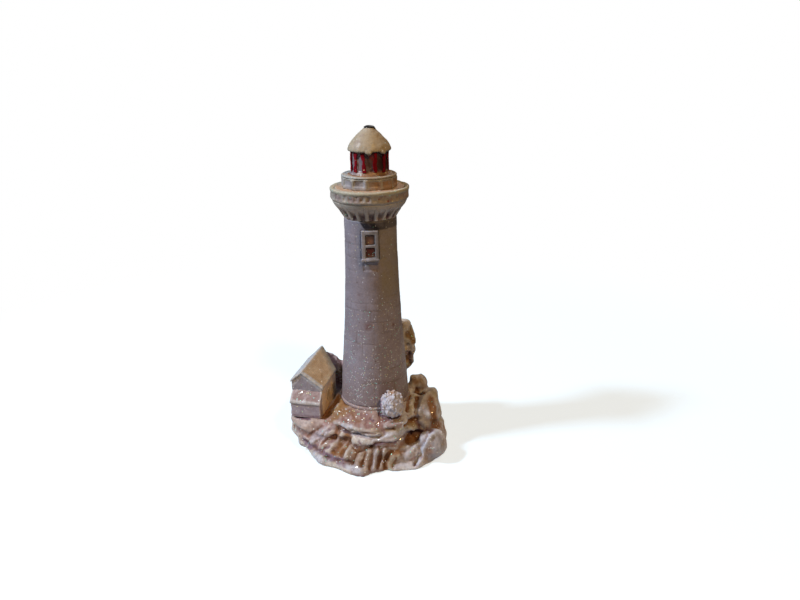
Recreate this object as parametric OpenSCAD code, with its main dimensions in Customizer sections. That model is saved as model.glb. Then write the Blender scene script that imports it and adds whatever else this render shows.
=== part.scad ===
// Lighthouse figurine: a round stone tower and its keeper's cottage on a rocky point.
// Millimetres, +Z up. The tower's axis is X = Y = 0, its window faces -Y and the flat
// underside is Z = 0. Pieces are stacked on flat seats and located by short round spigots.

/* [Rock] */
// Radius of the rock round the tower's axis at its widest, at the back left
rock_r = 33.5; // [31.5:0.1:36]
// Height of the bottom rock, up to the seat of the lower ledge
base_h = 7; // [5:0.1:9]
// Thickness of the lower ledge, whose flat top carries the cottage
lower_h = 6; // [4:0.1:8]
// Thickness of the upper ledge, up to the seat of the tower
upper_h = 4.5; // [4:0.1:6]
// How much higher the rock climbs round the back and left of the tower
rock_rise = 0.7; // [0:0.1:2]
// Depth of the relief on the rock faces
relief_depth = 0.9; // [0.2:0.05:1.1]
// Number of flutes worn into the front of the rock
flutes = 10; // [5:1:14]
// Depth of the flutes
flute_depth = 1.8; // [0.5:0.1:2.2]
// Height of the shelf that the fluted stone and the corner boulder stand on
shelf_z = 1.5; // [1:0.1:3]
// Radius of the corner boulder
corner_r = 6.4; // [4:0.1:6.8]
// Height of the corner boulder above its shelf
corner_h = 9; // [6:0.1:11]
// Height of the slab on the right of the tower
outcrop_h = 6.4; // [4:0.1:8]
// Height of the knob behind the slab
knob_h = 7.6; // [5:0.1:10]
// Height of the lowest stone of the crag behind the tower
crag_foot_h = 8; // [5:0.1:10]
// Height of the middle stone of the crag
crag_middle_h = 10.6; // [8:0.1:13]
// Height of the top stone of the crag
crag_top_h = 10; // [7:0.1:12]
// Height of the two stones between the cottage and the tower, at the back
saddle_h = 11.7; // [8:0.1:13]
// Radius of the bush beside the tower
bush_r = 4.5; // [3:0.1:4.8]
// Height of the bush as a share of its width
bush_tall = 1.15; // [0.9:0.05:1.3]

/* [Tower] */
// Height of the shaft, from its plinth to the gallery
shaft_h = 66.5; // [50:0.5:80]
// Radius of the shaft at its foot
shaft_foot_r = 12.2; // [11:0.1:12.4]
// Radius of the shaft at its neck, under the gallery
shaft_neck_r = 8.9; // [8:0.1:9.6]
// Courses of masonry marked on the shaft
courses = 14; // [8:1:18]
// Depth of the joints between courses
joint_depth = 0.15; // [0.05:0.01:0.3]
// Height of the plinth ring
plinth_h = 1.2; // [0.6:0.1:2]
// How far the plinth stands out from the foot of the shaft
plinth_lip = 0.5; // [0.2:0.1:0.8]
// Radius of the spigot under the shaft
foot_spigot_r = 8; // [5:0.1:9]
// Length of the spigot under the shaft, plinth included
foot_spigot_h = 4.2; // [3:0.1:4.8]
// Radius of the spigot on top of the shaft
neck_spigot_r = 6; // [4:0.1:7]
// Length of the spigot on top of the shaft
neck_spigot_h = 3; // [2:0.1:4]
// Clearance of a glued spigot in its socket, and of a seated piece in its recess
glue_gap = 0.1; // [0.05:0.01:0.15]

/* [Window] */
// Width of the window surround
window_w = 5.7; // [4:0.1:7]
// Height of the window surround
window_h = 10.4; // [8:0.1:12]
// Width of the surround's bars
window_bar = 1.3; // [0.8:0.1:1.6]
// Distance from the middle of the window down from the neck of the shaft
window_drop = 8.2; // [7:0.1:14]
// Depth of the pocket for the window, below the face of the shaft
window_pocket = 1.2; // [0.8:0.1:2]
// How far the surround stands out from the face of the shaft
window_proud = 0.7; // [0.3:0.1:1.2]
// How far the panes lie behind the face of the surround
pane_recess = 0.6; // [0.3:0.1:1]
// Height of the sunk panel under the window
apron_h = 3.6; // [2:0.1:5]

/* [Gallery] */
// Height of the bowl under the gallery
bowl_h = 6; // [4.5:0.1:8]
// Radius of the gallery's floor where the corbels end
bowl_r = 12.8; // [11.5:0.1:13.5]
// How far the rim of the bowl lies behind the ends of the corbels
bowl_set_in = 0.7; // [0.5:0.05:1]
// Number of corbels
corbels = 20; // [12:1:24]
// Width of a corbel at its top
corbel_w = 1.6; // [1.1:0.1:2.2]
// Width of a corbel at its foot
corbel_foot_w = 0.9; // [0.6:0.1:1.2]
// Height of the parapet
parapet_h = 4.3; // [3.5:0.1:6]
// Thickness of the parapet
parapet_t = 1.3; // [1:0.1:2]
// How far the rounded lip stands out from the parapet
parapet_lip = 0.3; // [0.1:0.05:0.6]
// Thickness of the gallery's deck
deck_t = 4.1; // [2.6:0.1:4.3]
// Depth of the small panels in the parapet
panel_depth = 0.25; // [0.1:0.05:0.4]

/* [Lantern] */
// Corner radius of the twelve-sided pedestal
pedestal_r = 9.4; // [8.4:0.1:9.8]
// Height of the pedestal under its cap
pedestal_h = 3.5; // [3:0.1:6]
// Thickness of the pedestal's cap
pedestal_cap_h = 0.8; // [0.6:0.1:1.2]
// Radius of the lantern behind its bars
lantern_r = 6.1; // [5:0.1:6.4]
// Height of the lantern
lantern_h = 7.4; // [5.5:0.1:10]
// How far the lantern stands to the right of the tower's axis
lantern_off = 0.3; // [0:0.1:0.5]
// Number of bars round the lantern
bars = 12; // [8:1:16]
// Width of a bar
bar_w = 0.9; // [0.6:0.1:1.2]
// Thickness of a bar
bar_t = 0.35; // [0.2:0.05:0.5]
// Radius of the eave of the lantern's roof
eave_r = 7.2; // [6.9:0.1:8]
// Height of the roof, without its cap
roof_h = 7.2; // [5:0.1:9]
// Radius of the flat tip of the roof, under the cap
roof_tip_r = 1.7; // [1.2:0.1:2]
// Height of the black cap on the tip
cap_h = 0.8; // [0.6:0.1:1.5]
// Radius of the spigots that join the lantern's pieces
spigot_r = 3; // [2:0.1:4]
// Length of the spigots that join the lantern's pieces
spigot_h = 2; // [1.5:0.1:2.4]

/* [Cottage] */
// Width of the cottage over its walls
cottage_w = 11.5; // [9:0.1:12]
// Length of the cottage's right wall
cottage_l = 15.8; // [13:0.1:16.5]
// How much further the left wall runs than the right one
left_wall_run = 1.6; // [0:0.1:3]
// How much further the ridge runs than the right wall
ridge_over = 7.6; // [3:0.1:8]
// Height of the right wall up to the underside of the roof
wall_h = 10.6; // [10.2:0.1:12]
// How much higher the left wall is than the right one
left_wall_rise = 2.2; // [0:0.1:3]
// Rise of the gable above the right wall
gable_h = 5.5; // [4:0.1:7]
// Distance of the ridge to the left of the middle of the gable
ridge_off = 1.8; // [0:0.1:3]
// Thickness of the roofs
roof_t = 0.9; // [0.6:0.1:1.4]
// Overhang of the roofs
overhang = 0.4; // [0.2:0.05:0.8]
// Depth of the lean-to, front to back
lean_d = 2.9; // [2:0.1:4]
// Height of the lean-to where it meets the gable
lean_h = 8.9; // [6.5:0.1:9]
// Height of the lean-to at its front
lean_front_h = 5.8; // [3:0.1:6.3]
// Width of the window frames on the right wall
side_window_w = 3; // [2:0.1:4]
// Height of the window frames on the right wall
side_window_h = 4.4; // [3:0.1:6]
// Height of the sills of those windows above the ground
side_window_sill = 3.4; // [2:0.1:4.4]

/* [Hidden] */
$fn = 64;

// Heights of the seats, one above the other
lower_z = base_h + lower_h;
seat_z = lower_z + upper_h;
foot_z = seat_z + plinth_h;
neck_z = foot_z + shaft_h;
floor_z = neck_z + bowl_h;
deck_z = floor_z + deck_t;
cap_z = deck_z + pedestal_h;
lantern_z = cap_z + pedestal_cap_h;
eave_z = lantern_z + lantern_h;
tip_z = eave_z + roof_h;

plinth_r = shaft_foot_r + plinth_lip;
socket_r = plinth_r + 2 * glue_gap;
parapet_r = bowl_r + 0.2;
window_z = neck_z - window_drop;
window_turn = -2;
corbel_turn = -6.7;
pedestal_turn = -7;
bar_turn = -13;

rock_colour = "#c9b2a6";
rock_warm = "#b98f78";
stone_colour = "#8f868c";
cream = "#cbbfae";
pink = "#bd9590";

// Outlines of the rock round the tower's axis: angle, radius and, for the ledges, height
// of the lip as a share of the ledge's thickness. Angle 270 faces the front.
shore = [
  [0, 25.4], [15, 25], [35, 24], [65, 24], [90, 24.5], [112, 27], [135, 32], [155, 31.5],
  [178, 30], [190, 27.5], [203, 26.2], [220, 27.2], [238, 25.5], [250, 27], [258, 28],
  [268, 25.4], [277, 24.3], [288, 25.8], [300, 27.4], [312, 27.8], [324, 27.6], [336, 26.9],
  [347, 26.2]
];
brow = [
  [0, 25.6], [15, 25.8], [35, 25], [65, 25], [90, 26], [112, 28], [135, 33.5], [155, 33],
  [178, 31.8], [190, 29.7], [203, 28.7], [220, 27.7], [238, 25.8], [262, 25], [277, 22.8],
  [290, 23.5], [300, 24.8], [312, 27], [324, 27.6], [336, 26.3], [347, 25.5]
];
lower_edge = [
  [0, 24.2, 0.9], [15, 24.4, 0.85], [35, 24, 0.85], [65, 23.6, 0.85], [90, 24, 0.8],
  [112, 26, 0.85], [132, 32.6, 0.85], [155, 32.3, 0.85], [178, 31.6, 0.85], [190, 31.7, 0.8],
  [198, 28.6, 0.65], [212, 23.8, 0.55], [228, 20.4, 0.55], [243, 19.6, 0.55], [255, 20.6, 0.5],
  [266, 21.8, 0.5], [286, 22.6, 0.5], [299, 20.6, 0.5], [310, 18.4, 0.5], [320, 18.4, 0.7],
  [330, 21.5, 0.85], [338, 24.2, 0.9], [348, 24, 0.9]
];
upper_edge = [
  [0, 15.6, 0.7], [20, 15.4, 0.65], [38, 15.6, 0.45], [60, 15.8, 0.3], [90, 16, 0.3], [125, 16.2, 0.25],
  [150, 15.6, 0.2], [170, 15.7, 0.2], [196, 18.2, 0.2], [215, 19.4, 0.2], [230, 19.9, 0.25],
  [248, 19.9, 0.2], [266, 20.9, 0.2], [280, 19.2, 0.2], [292, 18.4, 0.25], [308, 18, 0.25],
  [325, 17, 0.3], [338, 15.9, 0.6], [350, 15.7, 0.7]
];

// The outlines and the places below are drawn for the widest point of the brow, then
// brought to the radius that is asked for
grow = rock_r / max([for (p = brow) p[1]]);
function spot(x, y, z) = [grow * x, grow * y, z];

function ease(t) = (1 - cos(180 * t)) / 2;
function mix(a, b, t) = a + (b - a) * t;
function clamp(v) = max(0, min(1, v));
function wrap(a) = a - 360 * floor(a / 360);

// Value in column c of a closed outline at the angle a
function drawn(list, a, c, i = 0) =
  let (
    n = len(list),
    here = list[i],
    next = i + 1 < n ? list[i + 1] : [list[0][0] + 360, list[0][1], list[0][2]]
  )
  a < next[0] || i + 1 == n
    ? mix(here[c], next[c], ease((a - here[0]) / (next[0] - here[0])))
    : drawn(list, a, c, i + 1);

// Radius of an outline at the angle a, set in or out, and the height of its lip
function along(list, a, out = 0) = grow * (drawn(list, a, 1) + out);
function lip_of(list, a, h) = drawn(list, a, 2) * h;

// Weathered relief from -1 to 1 that closes on itself round a stone
function weather(a, z, seed) =
  0.34 * sin(3 * a + 47 * seed + 11 * z) + 0.26 * sin(7 * a - 83 * seed - 29 * z)
  + 0.26 * (2 * abs(sin(5 * a + 31 * seed + 17 * z)) - 1) + 0.14 * sin(13 * a + 59 * seed + 23 * z);

// Closed skin over rings of points, each end closed by a fan round its middle point
module skin(rings, foot, head) {
  n = len(rings[0]);
  m = len(rings);
  points = concat([foot], [for (ring = rings) for (p = ring) p], [head]);
  faces = concat(
    [for (j = [0:n - 1]) [0, 1 + j, 1 + (j + 1) % n]],
    [for (i = [0:m - 2]) for (j = [0:n - 1])
      [1 + i * n + j, 1 + (i + 1) * n + j, 1 + (i + 1) * n + (j + 1) % n]],
    [for (i = [0:m - 2]) for (j = [0:n - 1])
      [1 + i * n + j, 1 + (i + 1) * n + (j + 1) % n, 1 + i * n + (j + 1) % n]],
    [for (j = [0:n - 1]) [1 + m * n, 1 + (m - 1) * n + (j + 1) % n, 1 + (m - 1) * n + j]]
  );
  polyhedron(points, faces);
}

// Boulder with a flat foot. Each level is a share of its height, a share of its width and
// of its depth, and how far its middle has shifted in X and Y. The top tilts along X and Y,
// and block squares the plan off.
module boulder(at, size, levels, seed, relief = 1, turn = 0, tilt = [0, 0], block = 2.6) {
  sides = 32;
  function square_off(a) = pow(pow(abs(cos(a)), block) + pow(abs(sin(a)), block), -1 / block);
  function swell(a, h) =
    square_off(a) * (1 + 0.19 * relief * relief_depth * weather(a, 26 * h, seed)) / 1.12;
  function lift(a, h) = h == 1 ? 0 : h * 0.35 * relief * relief_depth * weather(a, 9, seed + 2);
  rings = [for (v = levels) [for (j = [0:sides - 1])
    let (
      a = 360 * j / sides,
      x = grow * size[0] * v[1] * swell(a, v[0]) * cos(a),
      y = grow * size[1] * v[2] * swell(a, v[0]) * sin(a)
    ) [
      x + grow * v[3], y + grow * v[4],
      size[2] * v[0] + v[0] * (tilt * [x, y]) + lift(a, v[0])
    ]]];
  last = levels[len(levels) - 1];
  translate(at) rotate([0, 0, turn])
    skin(rings, [0, 0, 0], [grow * last[3], grow * last[4], size[2]]);
}

// Levels of an upright boulder that leans evenly: pairs of height and girth
function leaning(pairs, lean) = [for (p = pairs) [p[0], p[1], p[1], lean[0] * p[0], lean[1] * p[0]]];

// Round hole, open at the top
module hole(x, y, z, r, h) {
  translate([x, y, z]) cylinder(r = r, h = h);
}

// Angles at which the big outlines are drawn
rock_sides = 96;
function rock_angles() = [for (j = [0:rock_sides - 1]) 360 * j / rock_sides];
function round_axis(a, r, z) = [r * cos(a), r * sin(a), z];

// Sector of the fluted stone
flute_from = 197;
flute_to = 280;
flute_inner_r = 20.2 * grow;
corner_at = grow * [20, -16.4];
bush_at = grow * [5.8, -14.3];
bush_z = lower_z + upper_h * 0.7;
bush_swell = 1.14;

// Radius of the bottom rock at its top edge, between its widest line and the ledge above
function crown(a) = mix(along(lower_edge, a, -0.3), along(brow, a, -0.3), 0.4);

module base_rock() {
  // Share of the height, way from the shore to the brow, set-back and strength of the relief
  flank = [[0, 0, -0.7, 0], [0.07, 0, 0, 0.5], [0.22, 0.5, 0, 1.1], [0.36, 0.9, 0, 1.4], [0.55, 1, 0, 1.4]];
  // Share of the height, way from the crown to the brow and strength of the relief
  shoulder = [[0.75, 0.75, 1.3], [0.9, 0.4, 1.1], [1, 0, 0.4]];
  function bump(a, h) = relief_depth * weather(a, 20 * h, 1);
  lower_rings = [for (v = flank) [for (a = rock_angles())
    let (r = mix(along(shore, a, v[2]), along(brow, a, v[2]), v[1]) + v[3] * bump(a, v[0]))
    round_axis(a, r, base_h * v[0])]];
  upper_rings = [for (v = shoulder) [for (a = rock_angles())
    round_axis(a, mix(crown(a), along(brow, a, -0.3), v[1]) + v[2] * bump(a, v[0]), base_h * v[0])]];
  color(rock_colour) difference() {
    skin(concat(lower_rings, upper_rings), [0, 0, 0], [0, 0, base_h]);
    hole(corner_at[0], corner_at[1], shelf_z, corner_r + glue_gap, base_h);
    translate([0, 0, shelf_z])
      rotate([0, 0, flute_from])
      rotate_extrude(angle = flute_to - flute_from)
      translate([flute_inner_r, 0])
      square([15 * grow, base_h]);
  }
}

// Fluted stone: ribs left standing between grooves worn down the front of the rock
module fluted_stone() {
  steps = flutes * 8;
  top = base_h - shelf_z;
  inset = 0.4;
  from = flute_from + inset;
  to = flute_to - inset;
  heights = [0, 0.12, 0.35, 0.6, 0.82, 0.94, 1];
  function face_r(a, t) =
    (t < 0.3 ? mix(along(shore, a, -0.2), along(brow, a, -0.3), t / 0.3)
      : mix(along(brow, a, -0.3), crown(a), (t - 0.3) / 0.7))
    + 0.5 * relief_depth * weather(a, 12 * t, 4) - (t > 0.95 ? 0.2 * grow : 0);
  function groove(k, t) =
    let (
      phase = k * flutes / steps + 0.5 * (1 - t) * (1 - k / steps),
      wave = abs(sin(180 * phase)),
      run = sin(180 * clamp(0.04 + t * 0.8))
    ) flute_depth * (0.55 + 0.45 * clamp(2 * k / steps)) * (1 - pow(wave, 0.7)) * run;
  outer = [for (t = heights) [for (k = [0:steps])
    let (a = mix(from, to, k / steps))
    round_axis(a, max(flute_inner_r + 0.8, face_r(a, t) - groove(k, t)), shelf_z + top * t)]];
  inner = [for (t = heights) [for (k = [steps:-2:0])
    round_axis(mix(from, to, k / steps), flute_inner_r + glue_gap, shelf_z + top * t)]];
  rings = [for (i = [0:len(heights) - 1]) concat(outer[i], inner[i])];
  color(rock_warm) ring_skin(rings);
}

// Closed skin over rings that are bent sectors: the ends are closed by strips
module ring_skin(rings) {
  n = len(rings[0]);
  m = len(rings);
  outer_n = (n - 1) * 2 / 3;
  points = [for (ring = rings) for (p = ring) p];
  function strip(base, up) = [for (k = [0:2:outer_n - 1])
    let (
      p0 = base + k,
      p1 = base + k + 1,
      p2 = base + k + 2,
      q0 = base + n - 1 - k / 2,
      q1 = base + n - 2 - k / 2
    )
    each up
      ? [[p0, q0, p1], [p1, q0, q1], [p1, q1, p2]]
      : [[p0, p1, q0], [p1, q1, q0], [p1, p2, q1]]];
  faces = concat(
    strip(0, false),
    [for (i = [0:m - 2]) for (j = [0:n - 1])
      [i * n + j, (i + 1) * n + j, (i + 1) * n + (j + 1) % n]],
    [for (i = [0:m - 2]) for (j = [0:n - 1])
      [i * n + j, (i + 1) * n + (j + 1) % n, i * n + (j + 1) % n]],
    strip((m - 1) * n, true)
  );
  polyhedron(points, faces);
}

module corner_boulder() {
  girth = corner_r * 0.86 / grow;
  color(rock_colour) boulder(
    [corner_at[0], corner_at[1], shelf_z], [girth, girth, corner_h],
    [
      [0, 0.72, 0.72, -0.3, 0.9], [0.16, 0.87, 0.87, -0.2, 0.6], [0.38, 1, 1, 0, 0.1],
      [0.58, 0.98, 0.96, 0, 0],
      [0.78, 0.9, 0.78, 0, 0.3], [0.92, 0.7, 0.54, 0, 0.7], [1, 0.4, 0.3, -0.2, 0.9]
    ], 5, 0.55, turn = 35, block = 2.3
  );
}

module lower_ledge() {
  // Share of the lip's height, set-back of the side and strength of the relief
  side = [[0, -1.3, 0.5], [0.2, -1.5, 1], [0.45, -0.9, 1.2], [0.7, -0.2, 1.2], [0.9, 0, 1]];
  function lip(a) = lip_of(lower_edge, a, lower_h);
  function bump(a, h) = relief_depth * weather(a, 7 * h, 2);
  rings = [for (v = side) [for (a = rock_angles())
    round_axis(a, along(lower_edge, a, v[1]) + v[2] * bump(a, v[0]), base_h + lip(a) * v[0])]];
  lip_ring = [for (a = rock_angles())
    round_axis(a, along(lower_edge, a, -0.3) + 0.5 * bump(a, 1), base_h + lip(a))];
  brink = [for (a = rock_angles())
    let (r = along(lower_edge, a, -0.5) - 0.7 * (lower_h - lip(a)))
    round_axis(a, r, base_h + mix(lip(a), lower_h, 0.75))];
  top = [for (a = rock_angles())
    round_axis(a, along(lower_edge, a, -0.8) - 1.1 * (lower_h - lip(a)), lower_z)];
  color(rock_warm)
    skin(concat(rings, [lip_ring, brink, top]), [0, 0, base_h], [0, 0, lower_z]);
}

module upper_ledge() {
  // 1 at the back left of the tower, where the rock climbs highest
  function climb(a) = pow(clamp(cos(a - 150)), 1.5);
  function lip(a) = lip_of(upper_edge, a, upper_h);
  rim_r = socket_r + plinth_lip;
  function top_z(a, f) =
    mix(lip(a), upper_h + 0.25 * plinth_h + rock_rise * climb(a), pow(f, 0.9))
    + 0.8 * relief_depth * weather(a, 14 * f, 6) * sin(180 * f);
  side = [for (v = [[0, -1.6, 0.6], [0.35, -0.7, 1], [0.75, 0, 0.9]]) [for (a = rock_angles())
    round_axis(
      a, along(upper_edge, a, v[1]) + v[2] * relief_depth * weather(a, 12 * v[0], 3),
      lower_z + lip(a) * v[0]
    )]];
  top = [for (f = [0, 0.15, 0.4, 0.7, 1]) [for (a = rock_angles())
    round_axis(
      a, mix(along(upper_edge, a, -0.3) + 0.7 * relief_depth * weather(a, 9, 3), rim_r, f),
      lower_z + top_z(a, f)
    )]];
  top_h = upper_h + rock_rise + plinth_h;
  color(pink) difference() {
    skin(concat(side, top), [0, 0, lower_z], [0, 0, lower_z + top_h]);
    hole(0, 0, seat_z, socket_r, top_h);
    hole(0, 0, foot_z - foot_spigot_h - glue_gap, foot_spigot_r + glue_gap, top_h);
    hole(bush_at[0], bush_at[1], bush_z, bush_r * bush_swell + glue_gap, top_h);
    cottage_room();
  }
}

// Slab on the right: steep at its right and back, sloping down to the front
module right_outcrop() {
  color(rock_colour) boulder(
    spot(19.3, -3.9, lower_z), [4.1, 7.8, outcrop_h],
    [
      [0, 0.98, 1, -0.2, 0], [0.14, 1.02, 0.99, -0.1, 0], [0.3, 1, 0.92, 0, 0.5],
      [0.48, 0.95, 0.8, 0.1, 1.1], [0.66, 0.88, 0.67, 0.2, 1.7], [0.82, 0.78, 0.55, 0.3, 2.1],
      [0.94, 0.62, 0.42, 0.4, 2.4], [1, 0.4, 0.26, 0.4, 2.5]
    ], 8, 0.7, turn = -10, tilt = [0.06, 0.06], block = 3.2
  );
}

module right_knob() {
  color(rock_colour) boulder(
    spot(17.5, 9.3, lower_z), [4, 4.4, knob_h],
    leaning(
      [
        [0, 1], [0.15, 1.03], [0.33, 0.92], [0.47, 0.84], [0.62, 0.9], [0.82, 0.83], [0.94, 0.68],
        [1, 0.44]
      ],
      [-1.5, -1.2]
    ), 11, 0.7, turn = 8, block = 3.4
  );
}

// The crag is three stones, one on another, that lean out from behind the tower
module crag_foot() {
  color(rock_warm) boulder(
    spot(7.7, 19.3, lower_z), [4.2, 3.9, crag_foot_h],
    leaning([[0, 1], [0.2, 1.05], [0.5, 0.95], [0.8, 0.92], [1, 0.8]], [1.6, -3.4]), 13, 0.6
  );
}

module crag_middle() {
  color(rock_warm) boulder(
    spot(10.4, 15.2, lower_z + crag_foot_h), [4.9, 4, crag_middle_h],
    leaning(
      [[0, 0.6], [0.1, 0.84], [0.28, 1], [0.46, 0.98], [0.56, 0.86], [0.7, 1.04], [0.86, 1.04], [1, 0.76]],
      [1.4, -1]
    ), 17, 0.8, block = 3
  );
}

module crag_top() {
  color(rock_colour) boulder(
    spot(12.8, 13.9, lower_z + crag_foot_h + crag_middle_h), [4.5, 3.8, crag_top_h],
    leaning(
      [[0, 0.66], [0.1, 0.84], [0.26, 0.9], [0.5, 0.88], [0.75, 0.86], [0.92, 0.74], [1, 0.5]],
      [-2.2, -0.6]
    ), 19, 0.7, block = 3.4
  );
}

// Two stones close the gap between the cottage and the back of the tower, the first one
// set against the back of the cottage
module saddle_rock() {
  color(rock_warm) difference() {
    boulder(
      by_cottage(half_w - 2.95 * grow, ridge_l + 1.7 * grow), [3.6, 3.4, saddle_h],
      leaning([[0, 1], [0.2, 1.03], [0.45, 0.97], [0.7, 0.98], [0.88, 0.92], [1, 0.72]], [0, 0]),
      23, 0.5, tilt = [-0.7, 0], block = 3.2
    );
    cottage_room();
  }
}

module saddle_stone() {
  color(rock_warm) boulder(
    spot(-8.3, 18.6, lower_z), [3.4, 3.1, saddle_h],
    leaning([[0, 1], [0.25, 1.02], [0.5, 0.97], [0.75, 0.9], [0.9, 0.76], [1, 0.5]], [-0.6, -0.6]),
    29, 0.6, block = 3
  );
}

// Bush: a round head, pitted all over and cut back where it meets the tower
module bush() {
  rows = 12;
  sides = 28;
  flat = 24;
  function pit(a, t) = 0.09 * sin(5 * a + 90 * floor(t * rows)) * sin(180 * t)
    + 0.05 * sin(9 * a - 70 * floor(t * rows));
  rings = [for (i = [0:rows]) [for (j = [0:sides - 1])
    let (
      t = i / rows,
      p = mix(flat, 176, t),
      a = 360 * j / sides,
      r = bush_r * (1 + (i == 0 ? 0 : pit(a, t)))
    ) [
      bush_at[0] + r * sin(p) * cos(a),
      bush_at[1] + r * sin(p) * sin(a),
      bush_z + bush_tall * (bush_r * cos(flat) - (i == 0 ? bush_r : r) * cos(p))
    ]]];
  color("#b9a7b0") difference() {
    skin(
      rings,
      [bush_at[0], bush_at[1], bush_z],
      [bush_at[0], bush_at[1], bush_z + bush_tall * bush_r * (1 + cos(flat))]
    );
    hole(0, 0, lower_z, plinth_r + glue_gap, 4 * bush_r);
  }
}

// Cottage: X' runs to the right along the near gable, Y' back along the ridge
cottage_at = grow * [-24.6, -4.8];
cottage_turn = -15;
half_w = cottage_w / 2;
ridge_l = cottage_l + ridge_over;
ridge_z = wall_h + gable_h;
module on_cottage() {
  translate([cottage_at[0], cottage_at[1], lower_z]) rotate([0, 0, cottage_turn]) children();
}

// Place on the ground at the distances across and back from the foot of the near gable
function by_cottage(across, back) = [
  cottage_at[0] + across * cos(cottage_turn) - back * sin(cottage_turn),
  cottage_at[1] + across * sin(cottage_turn) + back * cos(cottage_turn),
  lower_z
];

left_h = wall_h + left_wall_rise;
left_l = cottage_l + left_wall_run;
function slope_z(x) = x > -ridge_off
  ? mix(ridge_z, wall_h, (x + ridge_off) / (half_w + ridge_off))
  : mix(ridge_z, left_h, (-ridge_off - x) / (half_w - ridge_off));

// Profile drawn in X' and Z, run back along Y'
module along_ridge(from, to) {
  translate([0, to, 0]) rotate([90, 0, 0]) linear_extrude(to - from) children();
}

// Plan of the cottage, its back corners canted, grown by g
module plan(g) {
  polygon([
    [-half_w - g, -g], [half_w + g, -g], [half_w + g, cottage_l + g / 2],
    [-ridge_off + g / 2, ridge_l + g], [-ridge_off - g / 2, ridge_l + g], [-half_w - g, left_l + g / 2]
  ]);
}

// Room that the rock leaves for the cottage
module cottage_room() {
  on_cottage() linear_extrude(ridge_z) plan(glue_gap);
}

module cottage_walls() {
  color(rock_warm) on_cottage() intersection() {
    along_ridge(0, ridge_l)
      polygon([[-half_w, 0], [half_w, 0], [half_w, wall_h], [-ridge_off, ridge_z], [-half_w, left_h]]);
    translate([0, 0, -1]) linear_extrude(ridge_z + 2) plan(0);
  }
}

module cottage_roof() {
  far = half_w + overhang;
  color("#b59a7f") on_cottage() intersection() {
    along_ridge(-overhang, ridge_l + overhang) polygon([
      [far, slope_z(far)], [-ridge_off, ridge_z], [-far, slope_z(-far)],
      [-far, slope_z(-far) + roof_t], [-ridge_off, ridge_z + roof_t], [far, slope_z(far) + roof_t]
    ]);
    linear_extrude(ridge_z + 2 * roof_t) plan(overhang);
  }
}

function lean_z(y) = mix(lean_h, lean_front_h, -y / lean_d);
lean_w = cottage_w - 0.4;

// Profile drawn in Y' and Z, run across from left to right
module across(w) {
  translate([-w / 2, 0, 0]) rotate([90, 0, 90]) linear_extrude(w) children();
}

module lean_to_walls() {
  color(stone_colour) on_cottage() across(lean_w)
    polygon([[0, 0], [-lean_d, 0], [-lean_d, lean_front_h], [0, lean_h]]);
}

module lean_to_roof() {
  y = -lean_d - overhang;
  color(pink) on_cottage() across(lean_w + overhang)
    polygon([[0, lean_h], [y, lean_z(y)], [y, lean_z(y) + roof_t], [0, lean_h + roof_t]]);
}

// Frame on the right wall, sunk in the middle: along is the distance back from the near gable
module wall_frame(along, z, w, h, proud, rim) {
  translate([half_w, along - w / 2, z]) difference() {
    cube([proud, w, h]);
    translate([proud / 2, rim, rim]) cube([proud, w - 2 * rim, h - 2 * rim]);
  }
}

frame_proud = 0.4;
module cottage_windows() {
  color(cream) on_cottage() for (share = [0.39, 0.75])
    wall_frame(cottage_l * share, side_window_sill, side_window_w, side_window_h, frame_proud, 0.6);
}

module tower_plinth() {
  edge = plinth_h * 0.45;
  color(cream) rotate_extrude() polygon(concat(
    [[foot_spigot_r + glue_gap, seat_z], [plinth_r, seat_z]],
    [for (a = [0:22.5:90])
      [plinth_r - edge + edge * cos(a), foot_z - edge + edge * sin(a)]],
    [[foot_spigot_r + glue_gap, foot_z]]
  ));
}

// Radius of the shaft at the height z: it flares towards the foot
flare = 1.22;
function shaft_r(z) =
  let (t = clamp((neck_z - z) / shaft_h))
  mix(shaft_neck_r, shaft_foot_r, flare * pow(t, 2) - (flare - 1) * pow(t, 12));

// Box that reaches out of the front of the shaft, from the depth y at the window
module front_box(w, z0, z1, y) {
  rotate([0, 0, window_turn]) translate([-w / 2, -y - 10, z0]) cube([w, 10, z1 - z0]);
}

window_y = shaft_r(window_z);
module tower_shaft() {
  pitch = shaft_h / courses;
  joint_w = 0.35;
  outline = [for (i = [0:courses])
    let (z = foot_z + i * pitch)
    each i == 0 ? [[shaft_r(z), z]]
      : i == courses ? [[shaft_neck_r, z]]
      : [
          [shaft_r(z - joint_w / 2), z - joint_w / 2],
          [shaft_r(z) - joint_depth, z],
          [shaft_r(z + joint_w / 2), z + joint_w / 2]
        ]];
  apron_top = window_z - window_h / 2;
  color(stone_colour) difference() {
    rotate_extrude() polygon(concat(
      [[0, foot_z - foot_spigot_h], [foot_spigot_r, foot_z - foot_spigot_h], [foot_spigot_r, foot_z]],
      outline,
      [[neck_spigot_r, neck_z], [neck_spigot_r, neck_z + neck_spigot_h], [0, neck_z + neck_spigot_h]]
    ));
    front_box(
      window_w + 2 * glue_gap, window_z - window_h / 2 - glue_gap,
      window_z + window_h / 2 + glue_gap, window_y - window_pocket
    );
    difference() {
      front_box(window_w * 0.92, apron_top - apron_h, apron_top - 0.5, 0);
      translate([0, 0, apron_top - apron_h - 1])
        cylinder(r = shaft_r(apron_top) - 0.2, h = apron_h + 2);
    }
  }
}

// Openings of the window, above and below its middle bar
pane_w = window_w - 2 * window_bar;
pane_h = (window_h - 2.7 * window_bar) / 2;
pane_rows = [window_z - window_h / 2 + window_bar, window_z + window_h / 2 - window_bar - pane_h];

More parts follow.
